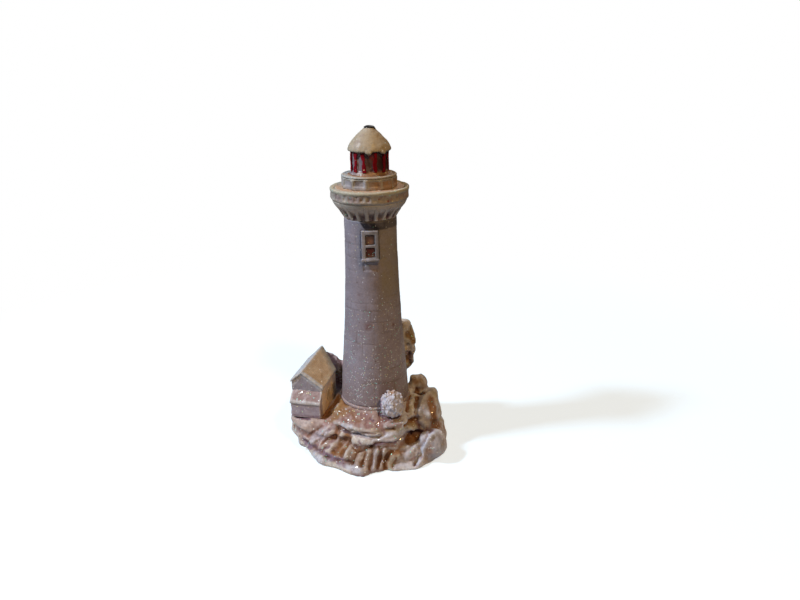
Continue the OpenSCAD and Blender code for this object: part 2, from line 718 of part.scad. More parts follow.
module window_surround() {
  back = window_y - window_pocket;
  depth = window_pocket + window_proud;
  color(cream) rotate([0, 0, window_turn]) difference() {
    union() {
      translate([-window_w / 2, -back - depth, window_z - window_h / 2])
        cube([window_w, depth, window_h]);
      translate([-window_w / 2 - 0.2, -back - depth - 0.25, window_z - window_h / 2])
        cube([window_w + 0.4, window_proud * 0.6, window_bar * 0.6]);
    }
    for (z = pane_rows) translate([-pane_w / 2, -back - depth - 1, z])
      cube([pane_w, depth + 2, pane_h]);
  }
}

module window_panes() {
  back = window_y - window_pocket;
  depth = window_pocket + window_proud - pane_recess;
  color("#6e3a33") rotate([0, 0, window_turn]) for (z = pane_rows)
    translate([-pane_w / 2 + glue_gap, -back - depth, z + glue_gap])
      cube([pane_w - 2 * glue_gap, depth, pane_h - 2 * glue_gap]);
}

// Hollow curve of the bowl, u from 0 at the neck to 1 at the floor
function bowl_curve(u) = mix(shaft_neck_r, bowl_r - bowl_set_in, pow(u, 2.6));
bowl_steps = 8;

module gallery_bowl() {
  color(stone_colour) rotate_extrude() polygon(concat(
    [[neck_spigot_r + glue_gap, neck_z]],
    [for (i = [0:bowl_steps]) [bowl_curve(i / bowl_steps), neck_z + bowl_h * i / bowl_steps]],
    [
      [0, floor_z], [0, neck_z + neck_spigot_h + glue_gap],
      [neck_spigot_r + glue_gap, neck_z + neck_spigot_h + glue_gap]
    ]
  ));
}

// Corbels: tapered brackets that stand in the hollow of the bowl and carry the parapet
module gallery_corbels() {
  crown = 0.94;
  curve = [for (i = [0:bowl_steps - 1]) let (u = i / bowl_steps)
    [bowl_curve(u), neck_z + bowl_h * u]];
  color(cream) for (i = [0:corbels - 1]) rotate([0, 0, corbel_turn + 360 * i / corbels])
    intersection() {
      rotate_extrude(angle = 30, start = 255) polygon(concat(
        curve,
        [
          [bowl_curve(crown), neck_z + bowl_h * crown],
          [mix(shaft_neck_r, bowl_r, 0.91), neck_z + bowl_h * crown],
          [mix(shaft_neck_r, bowl_r, 0.81), neck_z + bowl_h * 0.8],
          [mix(shaft_neck_r, bowl_r, 0.42), neck_z + bowl_h * 0.44]
        ]
      ));
      rotate([90, 0, 0]) linear_extrude(2 * bowl_r) polygon([
        [-corbel_foot_w / 2, neck_z - 1], [corbel_foot_w / 2, neck_z - 1],
        [corbel_w / 2, floor_z], [-corbel_w / 2, floor_z]
      ]);
    }
}

module gallery_deck() {
  color(pink) difference() {
    translate([0, 0, floor_z]) cylinder(r = parapet_r - parapet_t - glue_gap, h = deck_t);
    hole(0, 0, deck_z - spigot_h - glue_gap, spigot_r + glue_gap, deck_t);
  }
}

// Parapet: a rounded lip over a band of small sunk panels, tall and low by turns
module gallery_parapet() {
  inner = parapet_r - parapet_t;
  lip = parapet_t * 0.5;
  lip_r = parapet_r + parapet_lip - lip;
  top = floor_z + parapet_h;
  panels = corbels * 2;
  low = parapet_h * 0.26;
  tall = parapet_h * 0.4;
  panel_w = 2 * PI * parapet_r / panels * 0.62;
  color(cream) difference() {
    rotate_extrude() polygon(concat(
      [
        [inner, floor_z], [bowl_r - 0.2, floor_z], [parapet_r + 0.1, floor_z + 0.7],
        [parapet_r + 0.1, floor_z + 0.9], [parapet_r, floor_z + 1.1],
        [parapet_r, top - 2.1 * lip]
      ],
      [for (a = [-40:26:116]) [lip_r + lip * cos(a), top - lip + lip * sin(a)]],
      [[inner, top - lip * 0.5]]
    ));
    for (i = [0:panels - 1]) rotate([0, 0, corbel_turn + 360 * (i + 0.5) / panels])
      translate([-panel_w / 2, -parapet_r - 1, floor_z + 1.25])
      cube([panel_w, 1 + panel_depth, i % 2 == 0 ? tall : low]);
  }
}

pedestal_flat = pedestal_r * cos(15);
module lantern_pedestal() {
  face_w = 2 * pedestal_r * sin(15);
  color(cream) rotate([0, 0, pedestal_turn]) difference() {
    union() {
      translate([0, 0, deck_z]) cylinder(r = pedestal_r, h = pedestal_h, $fn = 12);
      translate([0, 0, deck_z - spigot_h]) cylinder(r = spigot_r, h = spigot_h + 1);
    }
    for (i = [0:11]) rotate([0, 0, 15 + 30 * i])
      translate([pedestal_flat - 0.3, -face_w * 0.38, deck_z + 1.1])
      cube([1, face_w * 0.76, pedestal_h - 1.5]);
    hole(0, 0, cap_z - spigot_h - glue_gap, spigot_r + glue_gap, pedestal_h);
  }
}

module pedestal_cap() {
  half = pedestal_cap_h / 2;
  edge_r = pedestal_r - 0.15;
  color(cream) union() {
    rotate_extrude() polygon(concat(
      [[0, cap_z]],
      [for (a = [-90:22.5:90]) [edge_r - half + half * cos(a), cap_z + half + half * sin(a)]],
      [
        [edge_r - half - 0.3, lantern_z], [edge_r - half - 0.6, lantern_z - 0.25],
        [lantern_r + 1.1, lantern_z - 0.25], [lantern_r + 1, lantern_z], [0, lantern_z]
      ]
    ));
    translate([0, 0, cap_z - spigot_h]) cylinder(r = spigot_r, h = spigot_h + half);
  }
}

// Lantern: a glazed drum with an arched pane between each pair of bars
module lantern_drum() {
  foot_h = 0.9;
  pane_z = lantern_z + 1.2;
  gap_w = 2 * PI * lantern_r / bars - bar_w;
  arch_r = gap_w / 2;
  arch_z = eave_z - 0.9 - arch_r;
  color("#8e8792") translate([lantern_off, 0, 0]) difference() {
    rotate_extrude() polygon([
      [0, lantern_z], [lantern_r + 0.8, lantern_z], [lantern_r + 0.45, lantern_z + foot_h * 0.4],
      [lantern_r, lantern_z + foot_h], [lantern_r, eave_z], [0, eave_z]
    ]);
    for (i = [0:bars - 1]) rotate([0, 0, bar_turn + 360 * (i + 0.5) / bars])
      translate([0, -lantern_r + 0.3, 0]) rotate([90, 0, 0]) union() {
        translate([0, arch_z, 0]) cylinder(r = arch_r, h = 2);
        translate([-arch_r, pane_z, 0]) cube([gap_w, arch_z - pane_z, 2]);
      }
    hole(0, 0, eave_z - spigot_h - glue_gap, spigot_r + glue_gap, lantern_h);
  }
}

module lantern_bars() {
  color("#8d0f22") translate([lantern_off, 0, 0])
    for (i = [0:bars - 1]) rotate([0, 0, bar_turn + 360 * i / bars]) intersection() {
      translate([0, 0, lantern_z + 0.9]) difference() {
        cylinder(r = lantern_r + bar_t, h = lantern_h - 0.9);
        translate([0, 0, -1]) cylinder(r = lantern_r, h = lantern_h + 2);
      }
      translate([-bar_w / 2, -lantern_r - 1, lantern_z]) cube([bar_w, 2, lantern_h + 1]);
    }
}

// Roof: a full cone with a rounded eave and two drips that hang from it at the front
module lantern_roof() {
  lip = 0.55;
  steps = 8;
  lean_in = 0.55;
  rise_z = eave_z + 1.6 * lip;
  color(cream) translate([lantern_off, 0, 0]) union() {
    rotate_extrude() polygon(concat(
      [[0, eave_z - spigot_h], [spigot_r, eave_z - spigot_h], [spigot_r, eave_z], [eave_r - lip, eave_z]],
      [for (a = [-70:28:14]) [eave_r - lip + lip * cos(a), eave_z + lip + lip * sin(a)]],
      [for (i = [1:steps]) let (u = i / steps) [
        roof_tip_r + (eave_r - roof_tip_r) * (1 - lean_in * u - (1 - lean_in) * u * u),
        mix(rise_z, tip_z, u)
      ]],
      [[0, tip_z]]
    ));
    for (a = [2, 41]) rotate([0, 0, a])
      translate([0, -eave_r + 0.1, eave_z - 0.05]) sphere(r = 0.5);
  }
}

module roof_cap() {
  cap_r = roof_tip_r + 0.2;
  color("#141214") translate([lantern_off + 0.2, 0, tip_z]) rotate_extrude() polygon(concat(
    [[0, 0], [cap_r - 0.15, 0]],
    [for (a = [10:20:90]) [cap_r * cos(a), cap_h * sin(a)]]
  ));
}

base_rock();
fluted_stone();
corner_boulder();
lower_ledge();
upper_ledge();
right_outcrop();
right_knob();
crag_foot();
crag_middle();
crag_top();
saddle_rock();
saddle_stone();
bush();
cottage_walls();
cottage_roof();
lean_to_walls();
lean_to_roof();
cottage_windows();
tower_plinth();
tower_shaft();
window_surround();
window_panes();
gallery_bowl();
gallery_corbels();
gallery_deck();
gallery_parapet();
lantern_pedestal();
pedestal_cap();
lantern_drum();
lantern_bars();
lantern_roof();
roof_cap();
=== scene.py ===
import bpy
import math
import numpy as np
from mathutils import Matrix, Vector
from mathutils.bvhtree import BVHTree
from mathutils.kdtree import KDTree


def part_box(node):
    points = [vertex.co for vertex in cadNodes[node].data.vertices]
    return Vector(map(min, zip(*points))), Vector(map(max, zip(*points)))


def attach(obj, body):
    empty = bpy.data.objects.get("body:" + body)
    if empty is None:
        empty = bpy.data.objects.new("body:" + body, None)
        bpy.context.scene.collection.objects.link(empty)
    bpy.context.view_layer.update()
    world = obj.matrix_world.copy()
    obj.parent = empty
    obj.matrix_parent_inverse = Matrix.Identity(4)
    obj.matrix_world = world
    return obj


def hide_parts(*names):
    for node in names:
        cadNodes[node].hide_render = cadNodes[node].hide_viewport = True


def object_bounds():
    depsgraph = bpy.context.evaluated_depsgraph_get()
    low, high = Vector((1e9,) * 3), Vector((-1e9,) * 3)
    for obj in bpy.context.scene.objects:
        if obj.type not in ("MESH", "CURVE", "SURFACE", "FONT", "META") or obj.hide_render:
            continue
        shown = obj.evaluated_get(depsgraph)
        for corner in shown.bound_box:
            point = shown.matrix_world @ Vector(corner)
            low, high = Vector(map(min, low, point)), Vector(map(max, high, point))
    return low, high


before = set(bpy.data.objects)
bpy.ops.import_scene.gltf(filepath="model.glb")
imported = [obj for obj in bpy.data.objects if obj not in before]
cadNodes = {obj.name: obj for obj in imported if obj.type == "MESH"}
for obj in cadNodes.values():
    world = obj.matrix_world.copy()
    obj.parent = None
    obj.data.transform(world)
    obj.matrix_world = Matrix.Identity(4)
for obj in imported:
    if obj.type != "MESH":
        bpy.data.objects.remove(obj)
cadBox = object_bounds()
mm = 0.001

# the photo's camera: place in metres, angles in degrees, lens and picture in pixels
photoView = {"at": (0, -0.2298, 0.1387), "down": 20.1, "turn": -2.4, "roll": -0.85,
             "lens": 693, "wide": 800, "high": 600}


# small helpers for modelling

def letGo():
    bpy.ops.object.select_all(action="DESELECT")
    bpy.context.view_layer.objects.active = None


def pick(piece):
    letGo()
    piece.select_set(True)
    bpy.context.view_layer.objects.active = piece


def applyAll(piece):
    pick(piece)
    for modifier in list(piece.modifiers):
        bpy.ops.object.modifier_apply(modifier=modifier.name)


def joinOnto(piece, others):
    pick(piece)
    for other in others:
        other.select_set(True)
    bpy.ops.object.join()


def stoneFrom(name, nodeNames):
    # one merged copy of the CAD nodes, which it then stands for
    copies = []
    for nodeName in nodeNames:
        copied = cadNodes[nodeName].copy()
        copied.data = cadNodes[nodeName].data.copy()
        for key in list(copied.keys()):
            del copied[key]
        copied.parent = None
        bpy.context.scene.collection.objects.link(copied)
        copies.append(copied)
    piece = copies[0]
    pick(piece)
    if len(copies) > 1:
        joinOnto(piece, copies[1:])
    piece.name = name
    piece.data.name = name
    bpy.ops.object.mode_set(mode="EDIT")
    bpy.ops.mesh.select_all(action="SELECT")
    bpy.ops.mesh.remove_doubles(threshold=0.01 * mm)
    bpy.ops.object.mode_set(mode="OBJECT")
    piece.data.materials.clear()
    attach(piece, "root")
    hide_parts(*nodeNames)
    return piece


def fuse(piece, voxel):
    remesh = piece.modifiers.new("fuse", "REMESH")
    remesh.mode = "VOXEL"
    remesh.voxel_size = voxel * mm
    applyAll(piece)


def soften(piece, repeats):
    smooth = piece.modifiers.new("soften", "SMOOTH")
    smooth.factor = 0.5
    smooth.iterations = repeats
    applyAll(piece)


def lump(at, reach, rng, narrow, flat):
    # a small flattened ball, turned at random; place and reach in mm
    letGo()
    turned = rng.uniform(0, 3, 3)
    shape = (1, rng.uniform(*narrow), flat)
    bpy.ops.mesh.primitive_ico_sphere_add(subdivisions=2, radius=reach * mm, location=Vector(at) * mm,
                                          rotation=turned, scale=shape)
    return bpy.context.active_object


def lumpsOn(piece, lumps):
    # small lumps joined to a piece before it is fused
    rng = np.random.default_rng(1)
    joinOnto(piece, [lump((x, y, z), reach, rng, (0.7, 1), 0.75) for x, y, z, reach in lumps])


def roughen(piece, kind, size, strength, middle=0.5):
    noise = bpy.data.textures.new(piece.name + kind, kind)
    noise.noise_scale = size * mm
    if kind == "CLOUDS":
        noise.noise_depth = 2
    push = piece.modifiers.new("roughen", "DISPLACE")
    push.texture = noise
    push.texture_coords = "LOCAL"
    push.strength = strength * mm
    push.mid_level = middle
    applyAll(piece)


def places(piece):
    # every point's place in mm
    co = np.empty(len(piece.data.vertices) * 3)
    piece.data.vertices.foreach_get("co", co)
    return co.reshape(-1, 3) / mm


def putBack(piece, co):
    piece.data.vertices.foreach_set("co", (co * mm).reshape(-1))
    piece.data.update()


def directions(piece):
    no = np.empty(len(piece.data.vertices) * 3)
    piece.data.vertices.foreach_get("normal", no)
    return no.reshape(-1, 3)


def edgesOf(piece):
    edges = np.empty(len(piece.data.edges) * 2, int)
    piece.data.edges.foreach_get("vertices", edges)
    return edges.reshape(-1, 2)


def fromAxis(co):
    # distance in mm from the tower's middle line
    return np.hypot(co[:, 0], co[:, 1])


def angleRound(co):
    # angle round the tower, 0 in front and positive to the right
    return np.arctan2(co[:, 0], -co[:, 1])


def nearLine(co, line):
    # distance of every point from a line through the given points
    best = np.linalg.norm(co - line[0], axis=1)
    for a, b in zip(line[:-1], line[1:]):
        along = b - a
        t = np.clip(((co - a) @ along) / max(along @ along, 1e-6), 0, 1)
        best = np.minimum(best, np.linalg.norm(co - (a + t[:, None] * along), axis=1))
    return best


def evenOut(co, edges, repeats):
    # each point moves to the middle of its neighbours
    count = len(co)
    ends = np.concatenate([edges[:, 0], edges[:, 1]])
    others = np.concatenate([edges[:, 1], edges[:, 0]])
    degree = np.maximum(np.bincount(ends, minlength=count), 1)
    for step in range(repeats):
        co = np.stack([np.bincount(ends, weights=co[others, k], minlength=count) / degree
                       for k in range(3)], axis=1)
    return co


def keepInBox(piece, margin=0.02):
    low, high = [np.array(corner) / mm for corner in cadBox]
    putBack(piece, np.clip(places(piece), low + [margin, margin, 0], high - margin))


def noteValue(piece, name, values):
    layer = piece.data.attributes.get(name) or piece.data.attributes.new(name, "FLOAT", "POINT")
    layer.data.foreach_set("value", np.asarray(values, np.float32))


def smoothShade(piece, angle):
    pick(piece)
    bpy.ops.object.shade_smooth_by_angle(angle=math.radians(angle))


def ramp(values, low, high):
    # 0 at low, 1 at high, smooth between; falls where high is the smaller
    t = np.clip((values - low) / (high - low), 0, 1)
    return t * t * (3 - 2 * t)


def slope(values, low, high):
    # 0 at low, 1 at high, straight between
    return np.clip((values - low) / (high - low), 0, 1)


def mottled(co, size, seed):
    # smooth random values from 0 to 1 over the surface, in patches of the size
    rng = np.random.default_rng(seed)
    total = np.zeros(len(co))
    for k in range(5):
        way = rng.normal(size=3)
        way /= np.linalg.norm(way)
        total += np.sin(co @ way / size * rng.uniform(0.7, 1.6) * math.pi + rng.uniform(0, 6.28))
    return np.clip(0.5 + total / 5.0, 0, 1)


def dabs(co, spots):
    # small touches of the brush: each spot has a place and a reach in mm
    total = np.zeros(len(co))
    for place, reach in spots:
        away = np.linalg.norm(co - np.array(place), axis=1) / reach
        total = np.maximum(total, np.exp(-away ** 3))
    return total


def photoAxes():
    # the directions to the right, up and straight ahead in the photo
    down, turn, roll = [math.radians(photoView[angle]) for angle in ("down", "turn", "roll")]
    ahead = Vector((-math.sin(turn) * math.cos(down), math.cos(turn) * math.cos(down), -math.sin(down)))
    level = Vector((math.cos(turn), math.sin(turn), 0))
    above = level.cross(ahead)
    right = level * math.cos(roll) + above * math.sin(roll)
    up = above * math.cos(roll) - level * math.sin(roll)
    return right, up, ahead


# small helpers for materials

def socketFrom(tree, kind, inputs=None, out=0, **settings):
    made = tree.nodes.new(kind)
    for name, value in settings.items():
        setattr(made, name, value)
    for name, value in (inputs or {}).items():
        if isinstance(value, bpy.types.NodeSocket):
            tree.links.new(value, made.inputs[name])
        else:
            made.inputs[name].default_value = value
    return made.outputs[out]


def maths(tree, operation, a, b=0.0):
    return socketFrom(tree, "ShaderNodeMath", {0: a, 1: b}, operation=operation)


def times(tree, a, b):
    return maths(tree, "MULTIPLY", a, b)


def colourMix(tree, amount, first, second, blend="MIX"):
    first, second = [value if isinstance(value, bpy.types.NodeSocket) else (*value, 1.0)
                     for value in (first, second)]
    return socketFrom(tree, "ShaderNodeMix", {0: amount, 6: first, 7: second}, out=2,
                      data_type="RGBA", blend_type=blend)


def lay(tree, base, colour, cover, amount=1.0, blend="MIX"):
    # one more coat over the base, where the cover says
    if amount != 1.0:
        cover = times(tree, cover, amount)
    return colourMix(tree, cover, base, colour, blend)


def fade(tree, value, low, high, bottom=0.0, top=1.0):
    return socketFrom(tree, "ShaderNodeMapRange", {0: value, 1: low, 2: high, 3: bottom, 4: top},
                      interpolation_type="SMOOTHSTEP")


def cloudy(tree, spot, scale, detail=3.0, rough=0.55, twist=0.0):
    return socketFrom(tree, "ShaderNodeTexNoise", {"Vector": spot, "Scale": scale, "Detail": detail,
                      "Roughness": rough, "Distortion": twist})


def objectSpot(tree):
    return socketFrom(tree, "ShaderNodeTexCoord", out=3)


def painted(tree, name):
    return socketFrom(tree, "ShaderNodeAttribute", out=2, attribute_name=name)


def newGroup(name, inputs, outputs):
    group = bpy.data.node_groups.new(name, "ShaderNodeTree")
    for label, value in inputs:
        socket = group.interface.new_socket(name=label, in_out="INPUT", socket_type="NodeSocketFloat")
        socket.default_value = value
    for label, kind in outputs:
        group.interface.new_socket(name=label, in_out="OUTPUT", socket_type="NodeSocket" + kind)
    return group, group.nodes.new("NodeGroupInput").outputs, group.nodes.new("NodeGroupOutput").inputs


def useGroup(tree, group, values):
    made = tree.nodes.new("ShaderNodeGroup")
    made.node_tree = group
    for name, value in values.items():
        if isinstance(value, bpy.types.NodeSocket):
            tree.links.new(value, made.inputs[name])
        else:
            made.inputs[name].default_value = value
    return made.outputs


def handPaintGroup():
    # uneven brushed paint on a casting: soft clouds of tone, fine grain and small pits
    group, given, result = newGroup(
        "handPaint", [("Cloud size", 0.006), ("Grain size", 0.0006), ("Pits", 0.5)],
        [("Cloud", "Float"), ("Grain", "Float"), ("Pit", "Float"), ("Height", "Float")])
    spot = objectSpot(group)
    cloudScale = maths(group, "DIVIDE", 1.0, given["Cloud size"])
    grainScale = maths(group, "DIVIDE", 1.0, given["Grain size"])
    cloud = fade(group, cloudy(group, spot, cloudScale, 4.0, 0.6, 0.6), 0.32, 0.68)
    grain = cloudy(group, spot, grainScale, 3.0, 0.6)
    pitScale = times(group, cloudScale, 3.2)
    spotty = socketFrom(group, "ShaderNodeTexVoronoi", {"Vector": spot, "Scale": pitScale})
    rare = fade(group, cloudy(group, spot, times(group, cloudScale, 1.7), 1.0), 0.52, 0.62)
    pit = times(group, fade(group, spotty, 0.16, 0.08), times(group, rare, given["Pits"]))
    even = maths(group, "ADD", times(group, cloud, 0.25), times(group, grain, 0.3))
    height = maths(group, "SUBTRACT", even, pit)
    for label, value in (("Cloud", cloud), ("Grain", grain), ("Pit", pit), ("Height", height)):
        group.links.new(value, result[label])
    return group


glitterHues = [(0.0, (0.92, 0.94, 0.92)), (0.50, (0.45, 0.95, 0.72)), (0.64, (0.95, 0.90, 0.45)),
               (0.74, (0.40, 0.90, 0.88)), (0.88, (0.95, 0.65, 0.40)), (0.93, (0.85, 0.80, 0.98))]


def glitterGroup():
    # flakes in the varnish: round cells, few of them lit, each with its own colour and tilt
    group, given, result = newGroup("glitter", [("Flake size", 0.0006), ("Amount", 0.2)],
                                    [("Mask", "Float"), ("Color", "Color"), ("Tilt", "Vector")])
    cells = group.nodes.new("ShaderNodeTexVoronoi")
    group.links.new(objectSpot(group), cells.inputs["Vector"])
    group.links.new(maths(group, "DIVIDE", 1.0, given["Flake size"]), cells.inputs["Scale"])
    cell = cells.outputs["Color"]
    chance, second = [socketFrom(group, "ShaderNodeSeparateColor", {0: cell}, out=k) for k in (0, 1)]
    lit = maths(group, "LESS_THAN", chance, given["Amount"])
    inside = fade(group, cells.outputs["Distance"], 0.40, 0.32)
    hues = group.nodes.new("ShaderNodeValToRGB")
    hues.color_ramp.interpolation = "CONSTANT"
    for k, (at, colour) in enumerate(glitterHues):
        stop = hues.color_ramp.elements[k] if k < 2 else hues.color_ramp.elements.new(at)
        stop.position = at
        stop.color = (*colour, 1)
    group.links.new(second, hues.inputs[0])
    away = socketFrom(group, "ShaderNodeVectorMath", {0: cell, 1: (0.5, 0.5, 0.5)}, operation="SUBTRACT")
    leaning = socketFrom(group, "ShaderNodeVectorMath", {0: away, "Scale": 0.9}, operation="SCALE")
    normal = socketFrom(group, "ShaderNodeNewGeometry", out=1)
    summed = socketFrom(group, "ShaderNodeVectorMath", {0: leaning, 1: normal}, operation="ADD")
    tilt = socketFrom(group, "ShaderNodeVectorMath", {0: summed}, operation="NORMALIZE")
    group.links.new(times(group, lit, inside), result["Mask"])
    group.links.new(hues.outputs[0], result["Color"])
    group.links.new(tilt, result["Tilt"])
    return group


handPaint = handPaintGroup()
glitter = glitterGroup()


def newFinish(name):
    finish = bpy.data.materials.new(name)
    finish.use_nodes = True
    tree = finish.node_tree
    return finish, tree, tree.nodes["Principled BSDF"]


def varnish(tree, shader, colour, brush, look):
    # paint under varnish, with glitter dust in it: flake size in mm and how many are lit
    size, amount = look["dust"]
    flakes = useGroup(tree, glitter, {"Flake size": size * mm, "Amount": amount})
    mask = flakes["Mask"]
    roughness = {0: mask, 2: look.get("rough", 0.45), 3: 0.22}
    rough = socketFrom(tree, "ShaderNodeMix", roughness, data_type="FLOAT")
    bump = {"Height": brush["Height"], "Distance": look.get("bump", 0.05) * mm, "Strength": 1.0}
    bumped = socketFrom(tree, "ShaderNodeBump", bump)
    normals = {0: mask, 4: bumped, 5: flakes["Tilt"]}
    leaned = socketFrom(tree, "ShaderNodeMix", normals, out=1, data_type="VECTOR")
    for value, name in ((colourMix(tree, mask, colour, flakes["Color"]), "Base Color"), (rough, "Roughness"),
                        (times(tree, mask, 0.3), "Metallic"), (leaned, "Normal")):
        tree.links.new(value, shader.inputs[name])
    shader.inputs["Specular IOR Level"].default_value = look.get("shine", 0.22)
    shader.inputs["Coat Weight"].default_value = look.get("coat", 0.05)
    shader.inputs["Coat Roughness"].default_value = 0.3


def brushOn(tree, look):
    # the uneven brushwork, with its sizes in mm
    sizes = {"Cloud size": look.get("clouds", 5) * mm, "Grain size": look.get("grain", 0.6) * mm}
    return useGroup(tree, handPaint, dict(sizes, Pits=look.get("pits", 0.3)))


def grained(tree, brush, base, dark, pale):
    # the grain makes the paint a little darker and paler
    toned = fade(tree, brush["Grain"], 0.3, 0.7, dark, pale)
    tone = socketFrom(tree, "ShaderNodeCombineColor", {0: toned, 1: toned, 2: toned})
    return colourMix(tree, 1.0, base, tone, "MULTIPLY")


def castPaint(name, look):
    # main paint with a second tone, washes (painted light and painted shade among them on several pieces),
    # darker hollows, paler edges and pits
    finish, tree, shader = newFinish(name)
    brush = brushOn(tree, look)
    base = colourMix(tree, brush["Cloud"], look["main"], look["second"])
    ragged = fade(tree, brush["Cloud"], 0.0, 1.0, 0.7, 1.25)
    for wash, colour, amount in look.get("washes", []):
        base = lay(tree, base, colour, times(tree, painted(tree, wash), ragged), amount)
    hollow = painted(tree, "hollow")
    inHollow = times(tree, fade(tree, hollow, *look.get("hollowFrom", (0.1, 0.9))), ragged)
    base = lay(tree, base, look["hollow"][0], inHollow, look["hollow"][1])
    base = lay(tree, base, look["edge"][0], fade(tree, hollow, -0.15, -0.9), look["edge"][1])
    base = lay(tree, base, (0.07, 0.03, 0.02), brush["Pit"])
    base = grained(tree, brush, base, 0.90, 1.08)
    if "denser" in look:
        size, amount = look["dust"]
        look = dict(look, dust=(size, times(tree, painted(tree, look["denser"]), amount)))
    varnish(tree, shader, base, brush, look)
    return finish


# the rock: one weathered casting

rockShape = {
    "nodes": ["base_rock", "fluted_stone", "corner_boulder", "lower_ledge", "upper_ledge", "right_outcrop",
              "right_knob", "crag_foot", "crag_middle", "crag_top", "saddle_rock", "saddle_stone"],
    "voxel": 0.36, "bridge": 0.8, "lumps": (5.5, 0.6), "facets": (3.8, 0.35), "grain": (1.3, 0.3),
    "deepest": 1.1, "flatFoot": 0.35,
    # the hollows under the ledges are filled by two plugs: middle, radius and height
    "plugs": [((0, 0, 15.2), 13.2, 4.2), ((5.8, -14.3, 14.3), 5.3, 3)],
    # small stones that fill the gaps between the large ones: place and reach
    "stones": [(13.3, 2.2, 17.2, 1.4), (14.3, -0.9, 16.7, 1.5), (13.3, -4.8, 16.8, 1.3),
               (14.9, -4.9, 15.5, 1.4), (12.2, -7.8, 16.3, 1.4), (13.4, -8.9, 14.8, 1.5),
               (16.5, 4.4, 12.8, 1.6), (17.3, 5.2, 14.9, 1.3),
               (17.5, -7.3, 15.9, 1.4), (16.2, -9.4, 14.1, 1.5), (15.0, -10.8, 11.9, 1.5),
               (16.1, -11.1, 8.8, 1.5), (17.5, -11.1, 9.9, 1.4), (14.6, -10.7, 7.7, 1.6),
               (12.7, -13.2, 10.1, 1.4), (18.2, -16.3, 10.1, 1.2), (12.3, -12.8, 6.7, 1.5),
               (-17.6, -4.4, 12.9, 1.5), (-16.2, 0.2, 13.2, 1.7), (-14.6, 3.6, 13.0, 1.6),
               (-14.2, 7.6, 13.3, 1.6), (-15.0, -3.6, 12.6, 1.5), (-18.7, 17.8, 26.6, 1.6),
               (-17.2, 17.8, 25.4, 1.8), (-15.4, 17.9, 24.0, 1.8), (-18.2, 17.8, 23.4, 2.1),
               (-16.2, 18.0, 22.2, 2.1), (-17.6, 18.0, 20.6, 2.3), (-13.6, 18.2, 22.4, 1.8)],
}

rockPaints = {
    "cream": (0.42, 0.345, 0.32), "pink": (0.335, 0.185, 0.175), "rose": (0.24, 0.125, 0.115),
    "sand": (0.52, 0.43, 0.235), "ochre": (0.28, 0.15, 0.045), "slate": (0.31, 0.295, 0.33),
    "bone": (0.62, 0.58, 0.545), "coldBone": (0.66, 0.67, 0.74), "milk": (0.56, 0.56, 0.64),
    "brown": (0.265, 0.13, 0.06), "highBrown": (0.24, 0.15, 0.075), "deepBrown": (0.12, 0.045, 0.018),
    "violet": (0.21, 0.14, 0.19), "lilac": (0.44, 0.41, 0.45), "olive": (0.33, 0.26, 0.13),
    # the flute and far-left tones darken the paint as painted shade, and the pale pink saddle tone is
    # painted light
    "tan": (0.30, 0.20, 0.14), "saddle": (0.85, 0.56, 0.56), "inFlutes": (0.60, 0.51, 0.43),
    "farLeftShade": (0.80, 0.70, 0.70),
}

rockLook = {"clouds": 6, "grain": 0.8, "pits": 0.6, "rough": 0.48, "bump": 0.22, "coat": 0.06, "flake": 0.55}

